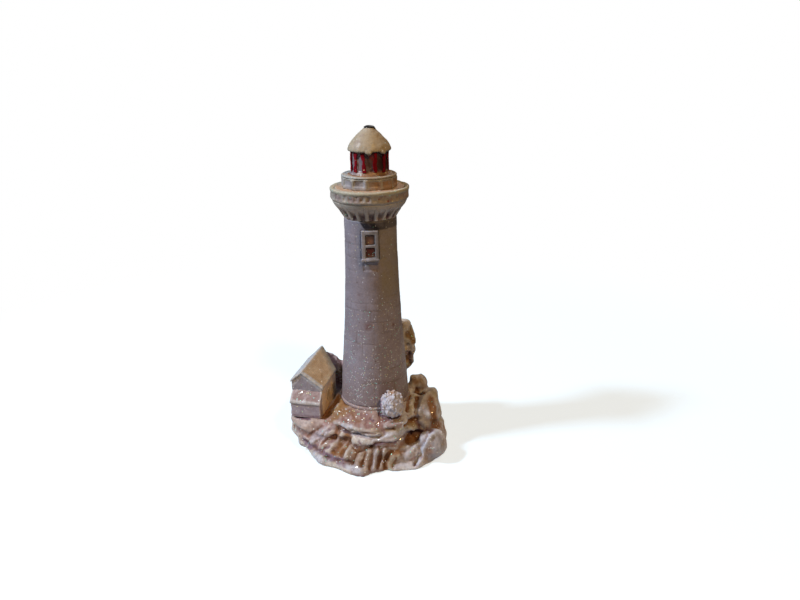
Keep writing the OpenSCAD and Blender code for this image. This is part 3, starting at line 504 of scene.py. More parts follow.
# strokes of the tool and the brush: reach and depth in mm, wash, how much of it,
# and the line they follow in the photo, in its pixels
rockStrokes = {
    "flute0": (0.8, -0.6, "brown", 0.8, [(339, 430), (337, 434), (336, 438)]),
    "flute1": (1.05, -1.1, "brown", 1, [(348, 437), (343, 442), (339, 447), (335, 452)]),
    "flute2": (0.7, -0.8, "brown", 1, [(349, 444), (346, 448), (343, 453), (341, 457)]),
    "flute3": (1.05, -1.1, "brown", 1, [(360, 450), (357, 453), (354, 458), (352, 462)]),
    "flute4": (0.7, -0.8, "brown", 1, [(366, 453), (364, 459), (362, 466)]),
    "flute5": (0.7, -0.8, "brown", 1, [(374, 447), (373, 455), (371, 463), (370, 469)]),
    "flute6": (0.5, -0.5, "brown", 0.8, [(381, 453), (380, 460), (378, 468)]),
    "rib0": (0.7, 0.4, "cream", 0.8, [(340, 438), (336, 443), (331, 448)]),
    "rib2": (0.7, 0.4, "cream", 0.9, [(353, 446), (349, 452), (346, 459)]),
    "rib3": (0.6, 0.35, "cream", 0.9, [(362, 453), (359, 459), (357, 465)]),
    "rib4": (0.6, 0.35, "cream", 0.9, [(369, 450), (367, 458), (366, 468)]),
    "rib5": (0.7, 0.45, "lilac", 1, [(377, 447), (376, 456), (374, 469)]),
    "rib6": (0.5, 0.35, "cream", 0.8, [(384, 450), (383, 458), (382, 467)]),
    "arch": (0.85, -0.8, "brown", 1, [(385, 468), (385, 461), (388, 455), (393, 451), (400, 450),
        (405, 452)]),
    "archBoss": (1.5, 0.6, "olive", 0.7, [(391, 463), (395, 459), (399, 456)]),
    "archMid": (0.4, -0.5, "brown", 0.8, [(396, 457), (395, 462), (394, 467)]),
    "archSpot": (0.5, -0.5, "brown", 0.9, [(402, 454), (401, 458)]),
    "cutA": (0.5, -0.7, "violet", 1, [(346, 430), (350, 433), (356, 432), (360, 434.5), (366, 437),
        (372, 437.5), (380, 437), (385, 435.5)]),
    "lipA": (0.6, 0.5, "cream", 1, [(344, 424), (348, 428), (353, 430), (358, 430.5), (364, 433),
        (372, 434.5), (380, 434)]),
    # brown under the upper lip, wash and painted shadow both
    "cutB": (0.55, -1.1, "brown", 1, [(388, 428), (394, 426.5), (400, 424.5), (408, 421.5),
        (414, 418.5), (419, 417)]),
    "lipB": (0.45, 0.4, "cream", 0.9, [(385, 427), (393, 424), (400, 421.5), (408, 418), (413, 415)]),
    "cutC": (0.5, -0.8, "violet", 1, [(371, 446), (375, 442.5), (382, 442.5), (388, 444.5),
        (394, 443.5), (400, 440.5), (405, 436), (410, 432.5), (416, 431), (422, 431)]),
    "lipC": (0.5, 0.35, "lilac", 0.8, [(374, 440), (382, 440), (388, 441.5), (394, 440.5), (399, 437.5),
        (404, 434)]),
    "bandTan": (0.8, 0.25, "olive", 0.8, [(388, 431), (394, 429), (400, 427.5), (408, 424.5), (414, 422)]),
    "bandPale": (0.7, 0.3, "cream", 0.8, [(383, 438), (390, 436), (396, 434), (402, 431), (410, 428)]),
    "lumpCut": (0.5, -0.9, "brown", 1, [(350, 437), (351, 442), (353, 447), (357, 450), (362, 451),
        (367, 449.5), (371, 446)]),
    "lump": (1.5, 0.5, "pink", 0.6, [(356, 442), (361, 443), (366, 441)]),
    "lumpPit1": (0.4, -0.4, "violet", 0.9, [(355, 446), (357, 447)]),
    "lumpPit2": (0.3, -0.3, "violet", 0.8, [(360, 441), (361, 443)]),
    "hollowR": (1.6, -0.6, "brown", 1, [(407, 441), (411, 438), (415, 436)]),
    "hollowRtop": (0.6, -0.5, "violet", 1, [(404, 437), (409, 433), (414, 431.5), (420, 430.5),
        (427, 433)]),
    "diagRidge": (1.2, 0.25, "lilac", 1, [(424, 433), (421, 440), (413, 449), (404, 459), (398, 466)]),
    "diagGroove": (0.5, -0.3, "brown", 0.6, [(417, 442), (409, 451), (400, 459), (396, 465)]),
    "ridge3": (0.5, 0.35, "cream", 0.6, [(408, 446), (402, 450)]),
    "seamR": (0.55, -1.1, "violet", 1, [(428, 435), (426, 440), (423, 445), (420, 451), (418, 457),
        (415, 464)]),
    "seamTop": (0.6, -0.6, "violet", 1, [(417, 419), (420, 425), (425, 430), (431, 433)]),
    "outRidge": (0.7, 0.6, "lilac", 0.8, [(428, 392), (424, 400), (421, 409), (419, 415)]),
    "outRidgeLow": (0.7, 0.5, "lilac", 1, [(420, 416), (423, 421), (427, 426)]),
    "outFace": (1.2, -0.7, "brown", 1, [(431, 400), (433, 408), (434, 416), (434, 425)]),
    "outEdge": (0.6, 0.4, "olive", 0.7, [(437, 401), (439, 410), (441, 420)]),
    "outTop": (0.9, 0.3, "olive", 0.8, [(432, 391), (436, 395)]),
    "outGroove": (0.6, -0.8, "brown", 0.9, [(417, 399), (416, 406), (415, 412)]),
    "outGroove2": (0.6, -0.7, "brown", 0.9, [(409, 396), (408, 404), (407, 411)]),
    "outRidge2": (0.5, 0.4, "olive", 0.6, [(413, 396), (412, 405), (411, 412)]),
    "knobHollow": (0.9, -0.4, "brown", 0.7, [(413, 379), (416, 382)]),
    "knobHollow2": (0.7, -0.4, "brown", 0.7, [(415, 388), (417, 391)]),
    "knobCut": (0.5, -0.9, "brown", 1, [(418, 394.5), (421, 394), (425, 392)]),
    "knobRidge": (0.7, 0.4, "tan", 0.8, [(420, 378), (423, 383), (424, 388)]),
    "boulderEdge": (0.8, 0.5, "lilac", 1, [(431, 436), (427, 442), (424, 449), (421, 456), (419, 463)]),
    "boulderPatch": (1.3, -0.4, "brown", 0.5, [(428, 447), (429, 452)]),
    "boulderTop": (2.2, 0.2, "slate", 0.95, [(434, 437), (437, 442), (438, 448)]),
    "boulderSide": (1.8, 0.1, "slate", 0.9, [(440, 440), (441, 447), (438, 453), (433, 458)]),
    "baseCut": (0.7, -0.8, "violet", 1, [(304, 441), (309, 446), (316, 450), (323, 453), (329, 457),
        (337, 460), (345, 461), (352, 463)]),
    "baseHole": (0.8, -0.8, "violet", 1, [(326, 457), (328, 458)]),
    "baseRim1": (0.9, 0.5, "lilac", 0.9, [(315, 453), (319, 458), (324, 462)]),
    "baseRim2": (0.9, 0.4, "lilac", 0.8, [(347, 464), (354, 467), (361, 469)]),
    # violet along the underside of the lower rim: painted shade
    "baseLow": (0.8, -0.3, "violet", 0.6, [(353, 471), (362, 474), (372, 474), (381, 471)]),
    "slope1": (0.5, -0.55, "brown", 0.5, [(334, 436), (328, 440), (321, 446)]),
    "slope2": (0.45, -0.5, "violet", 0.5, [(329, 431), (322, 436), (316, 441)]),
    "slope3": (0.4, -0.4, "brown", 0.4, [(322, 427), (314, 432), (307, 437)]),
    "slope4": (0.4, -0.45, "violet", 0.6, [(329, 447), (325, 449), (322, 451)]),
    "slopeRib1": (0.5, 0.35, "cream", 0.7, [(331, 440), (325, 444), (318, 449)]),
    "slopeRib2": (0.5, 0.3, "cream", 0.6, [(326, 433), (318, 440), (311, 443)]),
    "slopePit": (0.45, -0.4, "violet", 0.6, [(318, 430), (320, 432)]),
    "bank1": (1.4, -0.5, "brown", 1, [(323, 417), (328, 410), (334, 403), (338, 398)]),
    "bank2": (1.2, -0.3, "brown", 0.8, [(341, 412), (344, 406), (348, 401)]),
    "bankRidge": (0.9, 0.4, "tan", 0.8, [(334, 413), (338, 408), (340, 402)]),
    "bank3": (0.9, -0.3, "brown", 0.6, [(350, 410), (355, 416), (359, 421)]),
    "plateauPit": (0.3, -0.5, "violet", 1, [(370, 419), (373, 421)]),
    # violet at the foot of the lean-to: painted shadow
    "leanFoot": (0.5, -0.3, "violet", 1, [(297, 417), (303, 417), (309, 419)]),
    "crest1": (0.9, -0.8, "brown", 1, [(408, 334), (412, 338), (414, 342)]),
    "crest2": (0.6, -0.5, "brown", 0.7, [(406, 352), (410, 354), (414, 355)]),
    "crestTop": (1.0, 0.3, "cream", 0.9, [(405, 323), (408, 327)]),
    "crestBand": (0.9, 0.3, "milk", 0.9, [(409, 346), (413, 348)]),
    # brown under the slab's lip, wash and painted shadow both
    "slabUnder": (0.7, -0.3, "brown", 1, [(396, 424.5), (402, 422.5), (410, 419.5), (416, 420),
        (418, 423)]),
    "redNook": (0.8, -0.2, "violet", 0.9, [(417, 420), (419, 424), (421, 428)]),
    "purplePatch": (1.2, -0.2, "violet", 0.8, [(420, 429), (425, 430), (430, 431)]),
    "whiteLow": (0.7, 0.3, "milk", 1, [(420.5, 421), (423, 424), (426, 427)]),
    "starHollow": (1.5, -0.4, "brown", 1, [(409, 437), (413, 437), (416, 440), (411, 443)]),
    "starRay1": (0.3, 0.35, "tan", 0.9, [(411, 436), (411, 440), (410, 444)]),
    "starRay2": (0.3, 0.3, "tan", 0.9, [(415, 437), (413, 440), (411, 444)]),
    "fan": (1.5, 0.15, "lilac", 0.9, [(421, 439), (416, 446), (410, 452), (404, 458)]),
    "fanPink": (0.6, -0.1, "pink", 0.9, [(423, 437), (419, 445), (417, 450)]),
    "seamLow": (0.7, -0.5, "violet", 1, [(420, 455), (417, 459), (416, 463)]),
    "edgeWhite": (0.9, 0.3, "milk", 1, [(434, 434), (430, 438), (426, 443), (423.5, 448), (421.5, 455),
        (419.5, 463)]),
    "boulderBrown": (1.8, -0.2, "tan", 0.8, [(428, 446), (430, 452), (428, 458)]),
    "facePatch": (1.3, -0.3, "brown", 1, [(433, 421), (436, 424), (434, 427)]),
    "slabTop": (1.1, 0, "olive", 0.8, [(392, 431), (398, 429), (404, 427), (410, 424), (415, 423)]),
    "slabRim": (0.6, 0.2, "milk", 0.9, [(383, 437), (389, 435), (396, 433), (403, 431), (409, 428)]),
    # violet along the foot: painted shade
    "footPurple": (0.9, -0.2, "violet", 0.9, [(339, 462), (346, 464), (352, 466)]),
    "footBlue": (0.8, 0.2, "milk", 1, [(348, 467), (354, 470), (360, 472)]),
    # the dark band under the lower rim: painted shade
    "footDark": (0.9, 0, "violet", 0.9, [(354, 475), (362, 477), (371, 476)]),
    "footLump": (1.0, 0.2, "milk", 0.9, [(314, 455), (319, 458), (323, 461)]),
    "footPatch": (0.6, -0.3, "violet", 1, [(325, 457), (328, 458)]),
    "lipWhite": (0.9, 0.1, "milk", 1, [(344, 425), (349, 427.5)]),
    "slopeWhite": (1.1, 0.2, "milk", 0.8, [(313, 440), (319, 436), (326, 432)]),
    "slopePink1": (0.8, -0.2, "pink", 0.9, [(308, 430), (316, 434), (322, 438)]),
    "slopePink2": (0.8, -0.2, "pink", 0.9, [(318, 446), (324, 443), (330, 439)]),
    "slopePink3": (0.8, 0, "pink", 0.8, [(306, 437), (312, 444), (320, 450)]),
    "bankCream": (0.9, 0.3, "cream", 0.7, [(333, 410), (337, 406)]),
    # ochre on the bank beside the cottage, paint and painted warm light both
    "bankOrange": (1.5, 0, "ochre", 1, [(326, 416), (332, 405), (340, 397), (346, 404)]),
    "bankOrange2": (1.5, 0, "ochre", 0.95, [(333, 413), (339, 408), (345, 403), (349, 400)]),
    "bankOrange3": (1.2, 0, "ochre", 0.8, [(331, 419), (338, 416), (345, 412)]),
    "bankOlive": (0.9, 0.2, "olive", 0.9, [(337, 411), (341, 407)]),
    "lipPink": (0.7, 0.1, "milk", 0.7, [(354, 431), (362, 433), (372, 434.5), (380, 434)]),
    "plateauTan": (1.0, 0, "brown", 0.3, [(345, 418), (352, 421), (360, 424)]),
    "crestPale": (0.9, 0, "milk", 0.7, [(404, 322), (409, 325)]),
    "crestGrey": (0.9, 0, "olive", 0.8, [(410, 346), (413, 350), (412, 354)]),
    "crestDark": (0.8, -0.3, "violet", 0.9, [(408, 352), (411, 356), (409, 361)]),
    "outWhite": (0.8, 0.2, "milk", 0.8, [(424, 398), (421, 406), (419, 413)]),
    "footWhite2": (0.7, 0.1, "milk", 0.8, [(400, 467), (408, 465), (415, 463)]),
    "archEdge": (0.4, 0.2, "milk", 0.9, [(384, 449), (389, 447), (396, 447)]),
    "ochreArch": (0.9, 0, "ochre", 0.7, [(387, 457), (392, 453), (399, 451)]),
    "ochreSlab": (0.7, 0, "ochre", 0.8, [(399, 424), (406, 421.5), (413, 420)]),
    "ochreStar": (0.8, 0, "ochre", 0.8, [(408, 439), (412, 442)]),
    "outGrey": (1.2, 0, "slate", 0.8, [(424, 401), (423, 408), (424, 414)]),
    "slabGrey": (1.0, 0, "slate", 0.8, [(386, 441), (394, 437), (402, 434)]),
    "lumpGrey": (1.0, 0, "slate", 0.6, [(372, 443), (366, 446)]),
}


def rockFinish():
    paints = rockPaints
    finish, tree, shader = newFinish("paintedRock")
    brush = brushOn(tree, rockLook)
    spot = objectSpot(tree)
    hollow = painted(tree, "hollow")
    ragged = fade(tree, brush["Cloud"], 0.0, 1.0, 0.75, 1.2)
    speck = fade(tree, cloudy(tree, spot, 480.0, 3.0, 0.6, 0.4), 0.46, 0.64)
    patch = fade(tree, cloudy(tree, spot, 110.0, 3.0, 0.6, 0.8), 0.42, 0.60)
    creamNow = colourMix(tree, painted(tree, "warmLit"), paints["cream"], paints["milk"])
    rose = lay(tree, paints["rose"], paints["pink"], speck, 0.4)
    violetHere = fade(tree, cloudy(tree, spot, 85.0, 2.0), 0.45, 0.6)
    washInHollow = colourMix(tree, violetHere, paints["brown"], paints["violet"])
    bright = colourMix(tree, painted(tree, "warmLit"), paints["bone"], paints["coldBone"])
    calm = fade(tree, painted(tree, "roseWash"), 0.0, 1.0, 0.75, 0.25)
    brownNow = colourMix(tree, painted(tree, "sandWash"), paints["brown"], paints["highBrown"])
    base = lay(tree, creamNow, paints["pink"], patch, 0.75)
    base = lay(tree, base, paints["sand"], painted(tree, "sandWash"), 0.65)
    base = lay(tree, base, paints["lilac"], speck, 0.5)
    base = lay(tree, base, rose, painted(tree, "roseWash"), 0.92)
    base = lay(tree, base, paints["pink"], painted(tree, "pinkWash"), 0.85)
    base = lay(tree, base, washInHollow, fade(tree, hollow, 0.12, 0.8), 0.5)
    base = lay(tree, base, bright, times(tree, fade(tree, hollow, -0.15, -0.75), calm))
    for colour in ("olive", "tan", "slate", "ochre"):
        base = lay(tree, base, paints[colour], painted(tree, colour + "Wash"), 0.85)
    base = lay(tree, base, brownNow, times(tree, painted(tree, "brownWash"), ragged))
    base = lay(tree, base, paints["violet"], times(tree, painted(tree, "violetWash"), ragged))
    base = lay(tree, base, paints["deepBrown"], fade(tree, hollow, 0.9, 2.0), 0.6)
    base = lay(tree, base, paints["lilac"], painted(tree, "lilacWash"), 0.9)
    base = lay(tree, base, creamNow, painted(tree, "creamWash"), 0.8)
    base = lay(tree, base, paints["milk"], painted(tree, "milkWash"), 0.85)
    # painted shade over the flutes, lighter on their ridges
    inFlutes = times(tree, painted(tree, "fluteShade"), fade(tree, hollow, -0.4, 0.4, 0.3, 1.0))
    base = lay(tree, base, paints["inFlutes"], inFlutes, blend="MULTIPLY")
    # pale pink laid on the saddle as painted light, where it lies in shade
    base = lay(tree, base, paints["saddle"], painted(tree, "saddleLight"), 0.7)
    base = lay(tree, base, paints["deepBrown"], brush["Pit"])
    # painted shade on the far left of the front
    base = lay(tree, base, paints["farLeftShade"], painted(tree, "farLeftShade"), blend="MULTIPLY")
    base = grained(tree, brush, base, 0.8, 1.06)
    glints = fade(tree, painted(tree, "roseWash"), 0.0, 1.0, 0.08, 0.17)
    varnish(tree, shader, base, brush, dict(rockLook, dust=(rockLook["flake"], glints)))
    return finish


def closeGaps(piece, voxel, reach):
    # swell, fuse and shrink again, so that stones which lie close grow together
    for step in (reach, -reach):
        fuse(piece, voxel)
        push = piece.modifiers.new("swell", "DISPLACE")
        push.strength = step * mm
        push.mid_level = 0
        applyAll(piece)
    fuse(piece, voxel)


def followPhoto(piece, strokes, step=0.5):
    # every stroke's line laid on the piece, where the photo's camera sees it
    surface = BVHTree.FromObject(piece, bpy.context.evaluated_depsgraph_get())
    right, up, ahead = photoAxes()
    middle = (photoView["wide"] / 2, photoView["high"] / 2)
    followed = []
    for reach, depth, wash, amount, pixels in strokes.values():
        line = []
        for x, y in pixels:
            way = ahead * photoView["lens"] + right * (x - middle[0]) - up * (y - middle[1])
            hit = surface.ray_cast(Vector(photoView["at"]), way.normalized())[0]
            if hit is not None:
                line.append([round(value / mm / step) * step for value in hit])
        followed.append((reach, depth, wash, amount, line))
    return followed


def layOn(co, lines):
    # the same lines with a point every 0.3 mm, each one on the nearest part of the surface, sought in metres
    tree = KDTree(len(co))
    for k, place in enumerate(co * mm):
        tree.insert(place, k)
    tree.balance()
    laid = []
    for line in lines:
        line = np.array(line, float) * mm
        points = [line[0]]
        for a, b in zip(line[:-1], line[1:]):
            steps = max(1, int(np.linalg.norm(b - a) / (0.3 * mm)))
            points += [a + (b - a) * (k + 1) / steps for k in range(steps)]
        laid.append(np.array([tree.find(point)[0][:] for point in points]) / mm)
    return laid


def strokeFalls(co, strokes, spread, power):
    # for every stroke the points within its reach and how strongly each is touched
    falls = []
    for stroke, line in zip(strokes, layOn(co, [stroke[4] for stroke in strokes])):
        reach = stroke[0] * spread
        low, high = line.min(0) - 2.6 * reach, line.max(0) + 2.6 * reach
        near = np.where(((co > low) & (co < high)).all(1))[0]
        if len(near) > 0:
            falls.append((stroke, near, np.exp(-(nearLine(co[near], line) / reach) ** power)))
    return falls


def carve(piece, strokes):
    co = places(piece)
    no = directions(piece)
    move = np.zeros(len(co))
    for stroke, near, fall in strokeFalls(co, strokes, 1.0, 2):
        move[near] += max(stroke[1], -rockShape["deepest"]) * fall
    putBack(piece, co + no * move[:, None])


def washes(piece, strokes):
    totals = {stroke[2]: np.zeros(len(piece.data.vertices)) for stroke in strokes}
    for stroke, near, fall in strokeFalls(places(piece), strokes, 1.3, 4):
        total = totals[stroke[2]]
        total[near] = np.maximum(total[near], stroke[3] * fall)
    for colour, total in totals.items():
        noteValue(piece, colour + "Wash", total)


def noteHollows(piece, near=6, far=30):
    # how far each point lies below (+) or above (-) the smoothed surface
    co = places(piece)
    no = directions(piece)
    edges = edgesOf(piece)
    fine = evenOut(co, edges, near)
    broad = evenOut(fine, edges, far)
    fineHollow = ((fine - co) * no).sum(1) / 0.10
    broadHollow = ((broad - co) * no).sum(1) / 0.45
    hollow = fineHollow * 0.45 + broadHollow * 0.75
    noteValue(piece, "hollow", evenOut(np.stack([hollow] * 3, 1), edges, 1)[:, 0])


def backStrokes(piece, count, seed):
    # worn grooves and ribs on the sides that the photo does not show
    rng = np.random.default_rng(seed)
    co = places(piece)
    no = directions(piece)
    x, y, z = co.T
    behind = (y > -2) & ((x < 12) | (y > 10)) & (x > -24)
    behind |= (z > 17) & (no[:, 1] > -0.2) & (x > 6)
    able = np.where((fromAxis(co) > 13.5) & (np.abs(no[:, 2]) < 0.8) & (z > 1.2) & (behind | (x < -28)))[0]
    strokes = []
    for k in range(count):
        first = rng.choice(able)
        side = np.cross(no[first], [0, 0, 1])
        way = np.array([0, 0, -1.0]) + side * rng.uniform(-1.0, 1.0)
        way /= np.linalg.norm(way)
        length = rng.uniform(2.5, 7.0)
        bend = side * rng.uniform(-0.8, 0.8)
        cut = rng.random() < 0.62
        reach = rng.uniform(0.5, 0.95)
        depth = -rng.uniform(0.5, 1.1) if cut else rng.uniform(0.3, 0.6)
        paints = ["brown", "brown", "violet", "olive"] if cut else ["cream", "lilac", "olive"]
        wash = str(rng.choice(paints))
        line = [co[first], co[first] + way * length * 0.5 + bend, co[first] + way * length]
        strokes.append((reach, depth, wash, rng.uniform(0.5, 1.0), line))
    return strokes


def weatheredRock(name, shape, seed, hidden):
    piece = stoneFrom(name, shape["nodes"])
    strokes = followPhoto(piece, rockStrokes)
    for at, radius, height in shape["plugs"]:
        letGo()
        bpy.ops.mesh.primitive_cylinder_add(vertices=48, radius=radius * mm, depth=height * mm,
                                            location=[value * mm for value in at])
        joinOnto(piece, [bpy.context.active_object])
    lumpsOn(piece, shape["stones"])
    closeGaps(piece, shape["voxel"], shape["bridge"])
    soften(piece, 6)
    roughen(piece, "CLOUDS", *shape["lumps"])
    roughen(piece, "VORONOI", *shape["facets"], middle=0.45)
    strokes += backStrokes(piece, hidden, seed)
    carve(piece, strokes)
    roughen(piece, "CLOUDS", *shape["grain"])
    soften(piece, 1)
    co = places(piece)
    co[:, 2] = np.where(co[:, 2] < shape["flatFoot"], np.maximum(co[:, 2], 0) * 0.2, co[:, 2])
    putBack(piece, co)
    keepInBox(piece)
    noteHollows(piece)
    washes(piece, strokes)
    return piece


rock = weatheredRock("rock", rockShape, 5, 95)
rockAt = places(rock)
x, y, z = rockAt.T
rockAreas = {
    # where each wash lies, with the painted light on the saddle and the painted shade on the flutes and the
    # far left among them: the measure it follows and from where to where it comes in, in mm
    "roseWash": [(z, 13.2, 14.7), (fromAxis(rockAt), 24, 21)], "warmLit": [(x, 1, 10), (z, 22, 16)],
    "sandWash": [(z, 20, 24)], "saddleLight": [(z, 20, 24)],
    "farLeftShade": [(x, -13, -21), (y, 4, -4), (z, 4, 8)],
    "fluteShade": [(y, -17.5, -20.5), (z, 11.5, 8.5), (np.abs(x + 2.5), 10.2, 7.2)]}
rockSides = {"roseWash": (x < 9) * (z < 20), "sandWash": x > 8, "saddleLight": x < -6}
for wash, limits in rockAreas.items():
    cover = np.prod([slope(*limit) for limit in limits], axis=0)
    noteValue(rock, wash, cover * rockSides.get(wash, 1))
smoothShade(rock, 80)
rock.data.materials.append(rockFinish())
print("rock", len(rock.data.polygons))


# shared steps for the smaller castings

def casting(name, shape):
    # a merged copy of the solids, melted a little and dented, as it comes out of a mould
    piece = stoneFrom(name, shape["nodes"])
    if "drips" in shape:
        lumpsOn(piece, shape["drips"])
    fuse(piece, shape["voxel"])
    soften(piece, shape["melt"])
    for size, strength in shape["dents"]:
        roughen(piece, "CLOUDS", size, strength)
    return piece


def finishCasting(piece, look, near=4, far=18):
    keepInBox(piece)
    noteHollows(piece, near, far)
    smoothShade(piece, 75)
    piece.data.materials.append(castPaint(piece.name + "Paint", look))
    print(piece.name, len(piece.data.polygons))


# the cottage and its lean-to

cottage = {"at": (-24.6, -4.8, 13.0), "turn": -15,
           # the near gable's edge: its top, how far it stands off the middle, and the fall of each side
           "ridge": 16.1, "ridgeOff": -1.8, "rightFall": 0.728, "leftFall": 1.14}


def fromCottage(piece):
    # distances in mm across the near gable, back along the ridge and up from the ground
    co = places(piece) - np.array(cottage["at"])
    turn = math.radians(cottage["turn"])
    across = co[:, 0] * math.cos(turn) + co[:, 1] * math.sin(turn)
    back = -co[:, 0] * math.sin(turn) + co[:, 1] * math.cos(turn)
    return across, back, co[:, 2]


wallShape = {
    "nodes": ["cottage_walls"], "voxel": 0.22, "melt": 7, "dents": [(3, 0.35), (1, 0.08)],
    "rightSide": (4.6, 5.4), "nearEnd": (0.5, -0.2), "rake": (-1.7, -1.1),
    "paint": {"main": (0.32, 0.30, 0.35), "second": (0.27, 0.235, 0.29),
              "hollow": ((0.18, 0.105, 0.10), 0.7),
              "edge": ((0.50, 0.46, 0.46), 0.8), "pits": 0.35, "clouds": 4, "dust": (0.45, 0.05),
              "washes": [("brownWash", (0.80, 0.60, 0.40), 0.95), ("palePaintAndLight", (0.50, 0.475, 0.49), 0.95)]}}
walls = casting("walls", wallShape)
across, back, up = fromCottage(walls)
patchy = 0.8 + 0.2 * mottled(places(walls), 4, 3)
# the right side wall gets a pale warm tan in patches: paint and painted warm light both
noteValue(walls, "brownWash", ramp(across, *wallShape["rightSide"]) * patchy)
offRidge = across - cottage["ridgeOff"]
fall = np.where(offRidge > 0, cottage["rightFall"], -cottage["leftFall"])
rake = cottage["ridge"] - fall * offRidge
noteValue(walls, "palePaintAndLight", ramp(back, *wallShape["nearEnd"]) * ramp(up - rake, *wallShape["rake"]))
finishCasting(walls, wallShape["paint"])

leanWallShape = {
    "nodes": ["lean_to_walls"], "voxel": 0.22, "melt": 7, "dents": [(3, 0.35), (1, 0.08)],
    "rightSide": (5.0, 5.6), "foot": (1.6, 0.4), "top": (4.3, 5.6),
    "paint": {"main": (0.375, 0.325, 0.385), "second": (0.30, 0.25, 0.305),
              "hollow": ((0.20, 0.13, 0.15), 0.8),
              "edge": ((0.52, 0.48, 0.52), 0.9), "clouds": 3, "dust": (0.45, 0.05),
              "washes": [("brownWash", (0.38, 0.27, 0.19), 0.9), ("palePaintAndLight", (0.50, 0.47, 0.50), 0.7),
                         ("purpleAndShade", (0.17, 0.085, 0.125), 0.8)]}}
leanWalls = casting("leanWalls", leanWallShape)
across, back, up = fromCottage(leanWalls)
# warm brown on the right side is paint and painted warm light both; purple at the foot is painted shade
noteValue(leanWalls, "brownWash", ramp(across, *leanWallShape["rightSide"]) * 0.5)
noteValue(leanWalls, "purpleAndShade", ramp(up, *leanWallShape["foot"]) * 0.8)
noteValue(leanWalls, "palePaintAndLight", ramp(up, *leanWallShape["top"]) * 0.8)
finishCasting(leanWalls, leanWallShape["paint"])

roofShape = {
    "nodes": ["cottage_roof"], "voxel": 0.18, "melt": 7, "dents": [(3.5, 0.4), (1.2, 0.1)],
    "grooveStep": 0.85, "grooveDepth": 0.11, "rightSlope": (-1.2, -0.4), "facingUp": (0.2, 0.5),
    "grooved": (0.9, 1.8), "leftSlope": (-1.0, -2.0), "nearRim": (1.3, 0.4), "rightRim": (6.0, 6.3),
    "paint": {"main": (0.49, 0.385, 0.27), "second": (0.44, 0.33, 0.225),
              "hollow": ((0.30, 0.18, 0.10), 0.5),
              "edge": ((0.52, 0.45, 0.36), 0.5), "pits": 0.8, "clouds": 3, "dust": (0.45, 0.05),
              "washes": [("brownWash", (0.30, 0.19, 0.11), 0.6), ("palePaintAndLight", (0.50, 0.52, 0.58), 0.95)]}}
roof = casting("roof", roofShape)
across, back, up = fromCottage(roof)
no = directions(roof)
rightSlope = ramp(across, *roofShape["rightSlope"]) * ramp(no[:, 2], *roofShape["facingUp"])
kept = ramp(mottled(places(roof), 5, 8), 0.2, 0.6) * ramp(back, *roofShape["grooved"])
groove = np.cos(back / roofShape["grooveStep"] * 2 * math.pi) * rightSlope * kept
putBack(roof, places(roof) + no * (groove * roofShape["grooveDepth"])[:, None])
nearRim = ramp(back, *roofShape["nearRim"])
rightRim = ramp(across, *roofShape["rightRim"]) * 0.7
# the left slope's pale, cool paint is painted light; the near and right rims are pale paint
noteValue(roof, "palePaintAndLight", np.max([ramp(across, *roofShape["leftSlope"]), nearRim, rightRim], axis=0))
noteValue(roof, "brownWash", ramp(groove, 0.0, -0.8))
finishCasting(roof, roofShape["paint"])

leanRoofShape = {
    "nodes": ["lean_to_roof"], "voxel": 0.18, "melt": 7, "dents": [(3.5, 0.4), (1.2, 0.1)],
    "lowRim": (-2.6, -3.1), "sideRims": (5.0, 5.5),
    "paint": {"main": (0.335, 0.245, 0.25), "second": (0.29, 0.20, 0.205),
              "hollow": ((0.22, 0.11, 0.11), 0.7),
              "edge": ((0.54, 0.51, 0.52), 0.9), "clouds": 2, "dust": (0.6, 0.2),
              "washes": [("palePaintAndLight", (0.54, 0.53, 0.56), 0.95)]}}
leanRoof = casting("leanRoof", leanRoofShape)
across, back, up = fromCottage(leanRoof)
rims = np.maximum(ramp(back, *leanRoofShape["lowRim"]), ramp(np.abs(across), *leanRoofShape["sideRims"]))
noteValue(leanRoof, "palePaintAndLight", rims)
finishCasting(leanRoof, leanRoofShape["paint"])

sideWindowShape = {
    "nodes": ["cottage_windows"], "voxel": 0.12, "melt": 5, "dents": [(1, 0.1)],
    "paint": {"main": (0.52, 0.41, 0.28), "second": (0.42, 0.31, 0.19), "hollow": ((0.17, 0.085, 0.04), 0.9),
              "edge": ((0.60, 0.53, 0.44), 0.8), "clouds": 2, "dust": (0.4, 0.02)}}
sideWindows = casting("sideWindows", sideWindowShape)
finishCasting(sideWindows, sideWindowShape["paint"])


# the bush: small dabs of thick paint on a lump

bushShape = {
    "core": 0.45, "dabs": 170, "dabSize": (0.45, 1.0), "bareFoot": 0.8, "voxel": 0.15, "dents": (0.9, 0.4),
    "brownTop": [((5.4, -14.2, 26.0), 1.7)], "brownSide": (8.6, 10.2),
    "purpleSide": (2.6, 1.6), "purpleFoot": (17.6, 16.4),
    "paint": {"main": (0.52, 0.52, 0.60), "second": (0.43, 0.40, 0.47), "hollow": ((0.22, 0.11, 0.17), 0.8),
              "hollowFrom": (0.1, 1.2), "edge": ((0.70, 0.72, 0.78), 0.9), "pits": 0.2, "clouds": 1.6,
              "washes": [("brownWash", (0.36, 0.20, 0.11), 0.8), ("purpleAndShade", (0.20, 0.08, 0.14), 0.8)],
              "dust": (0.4, 0.07)}}


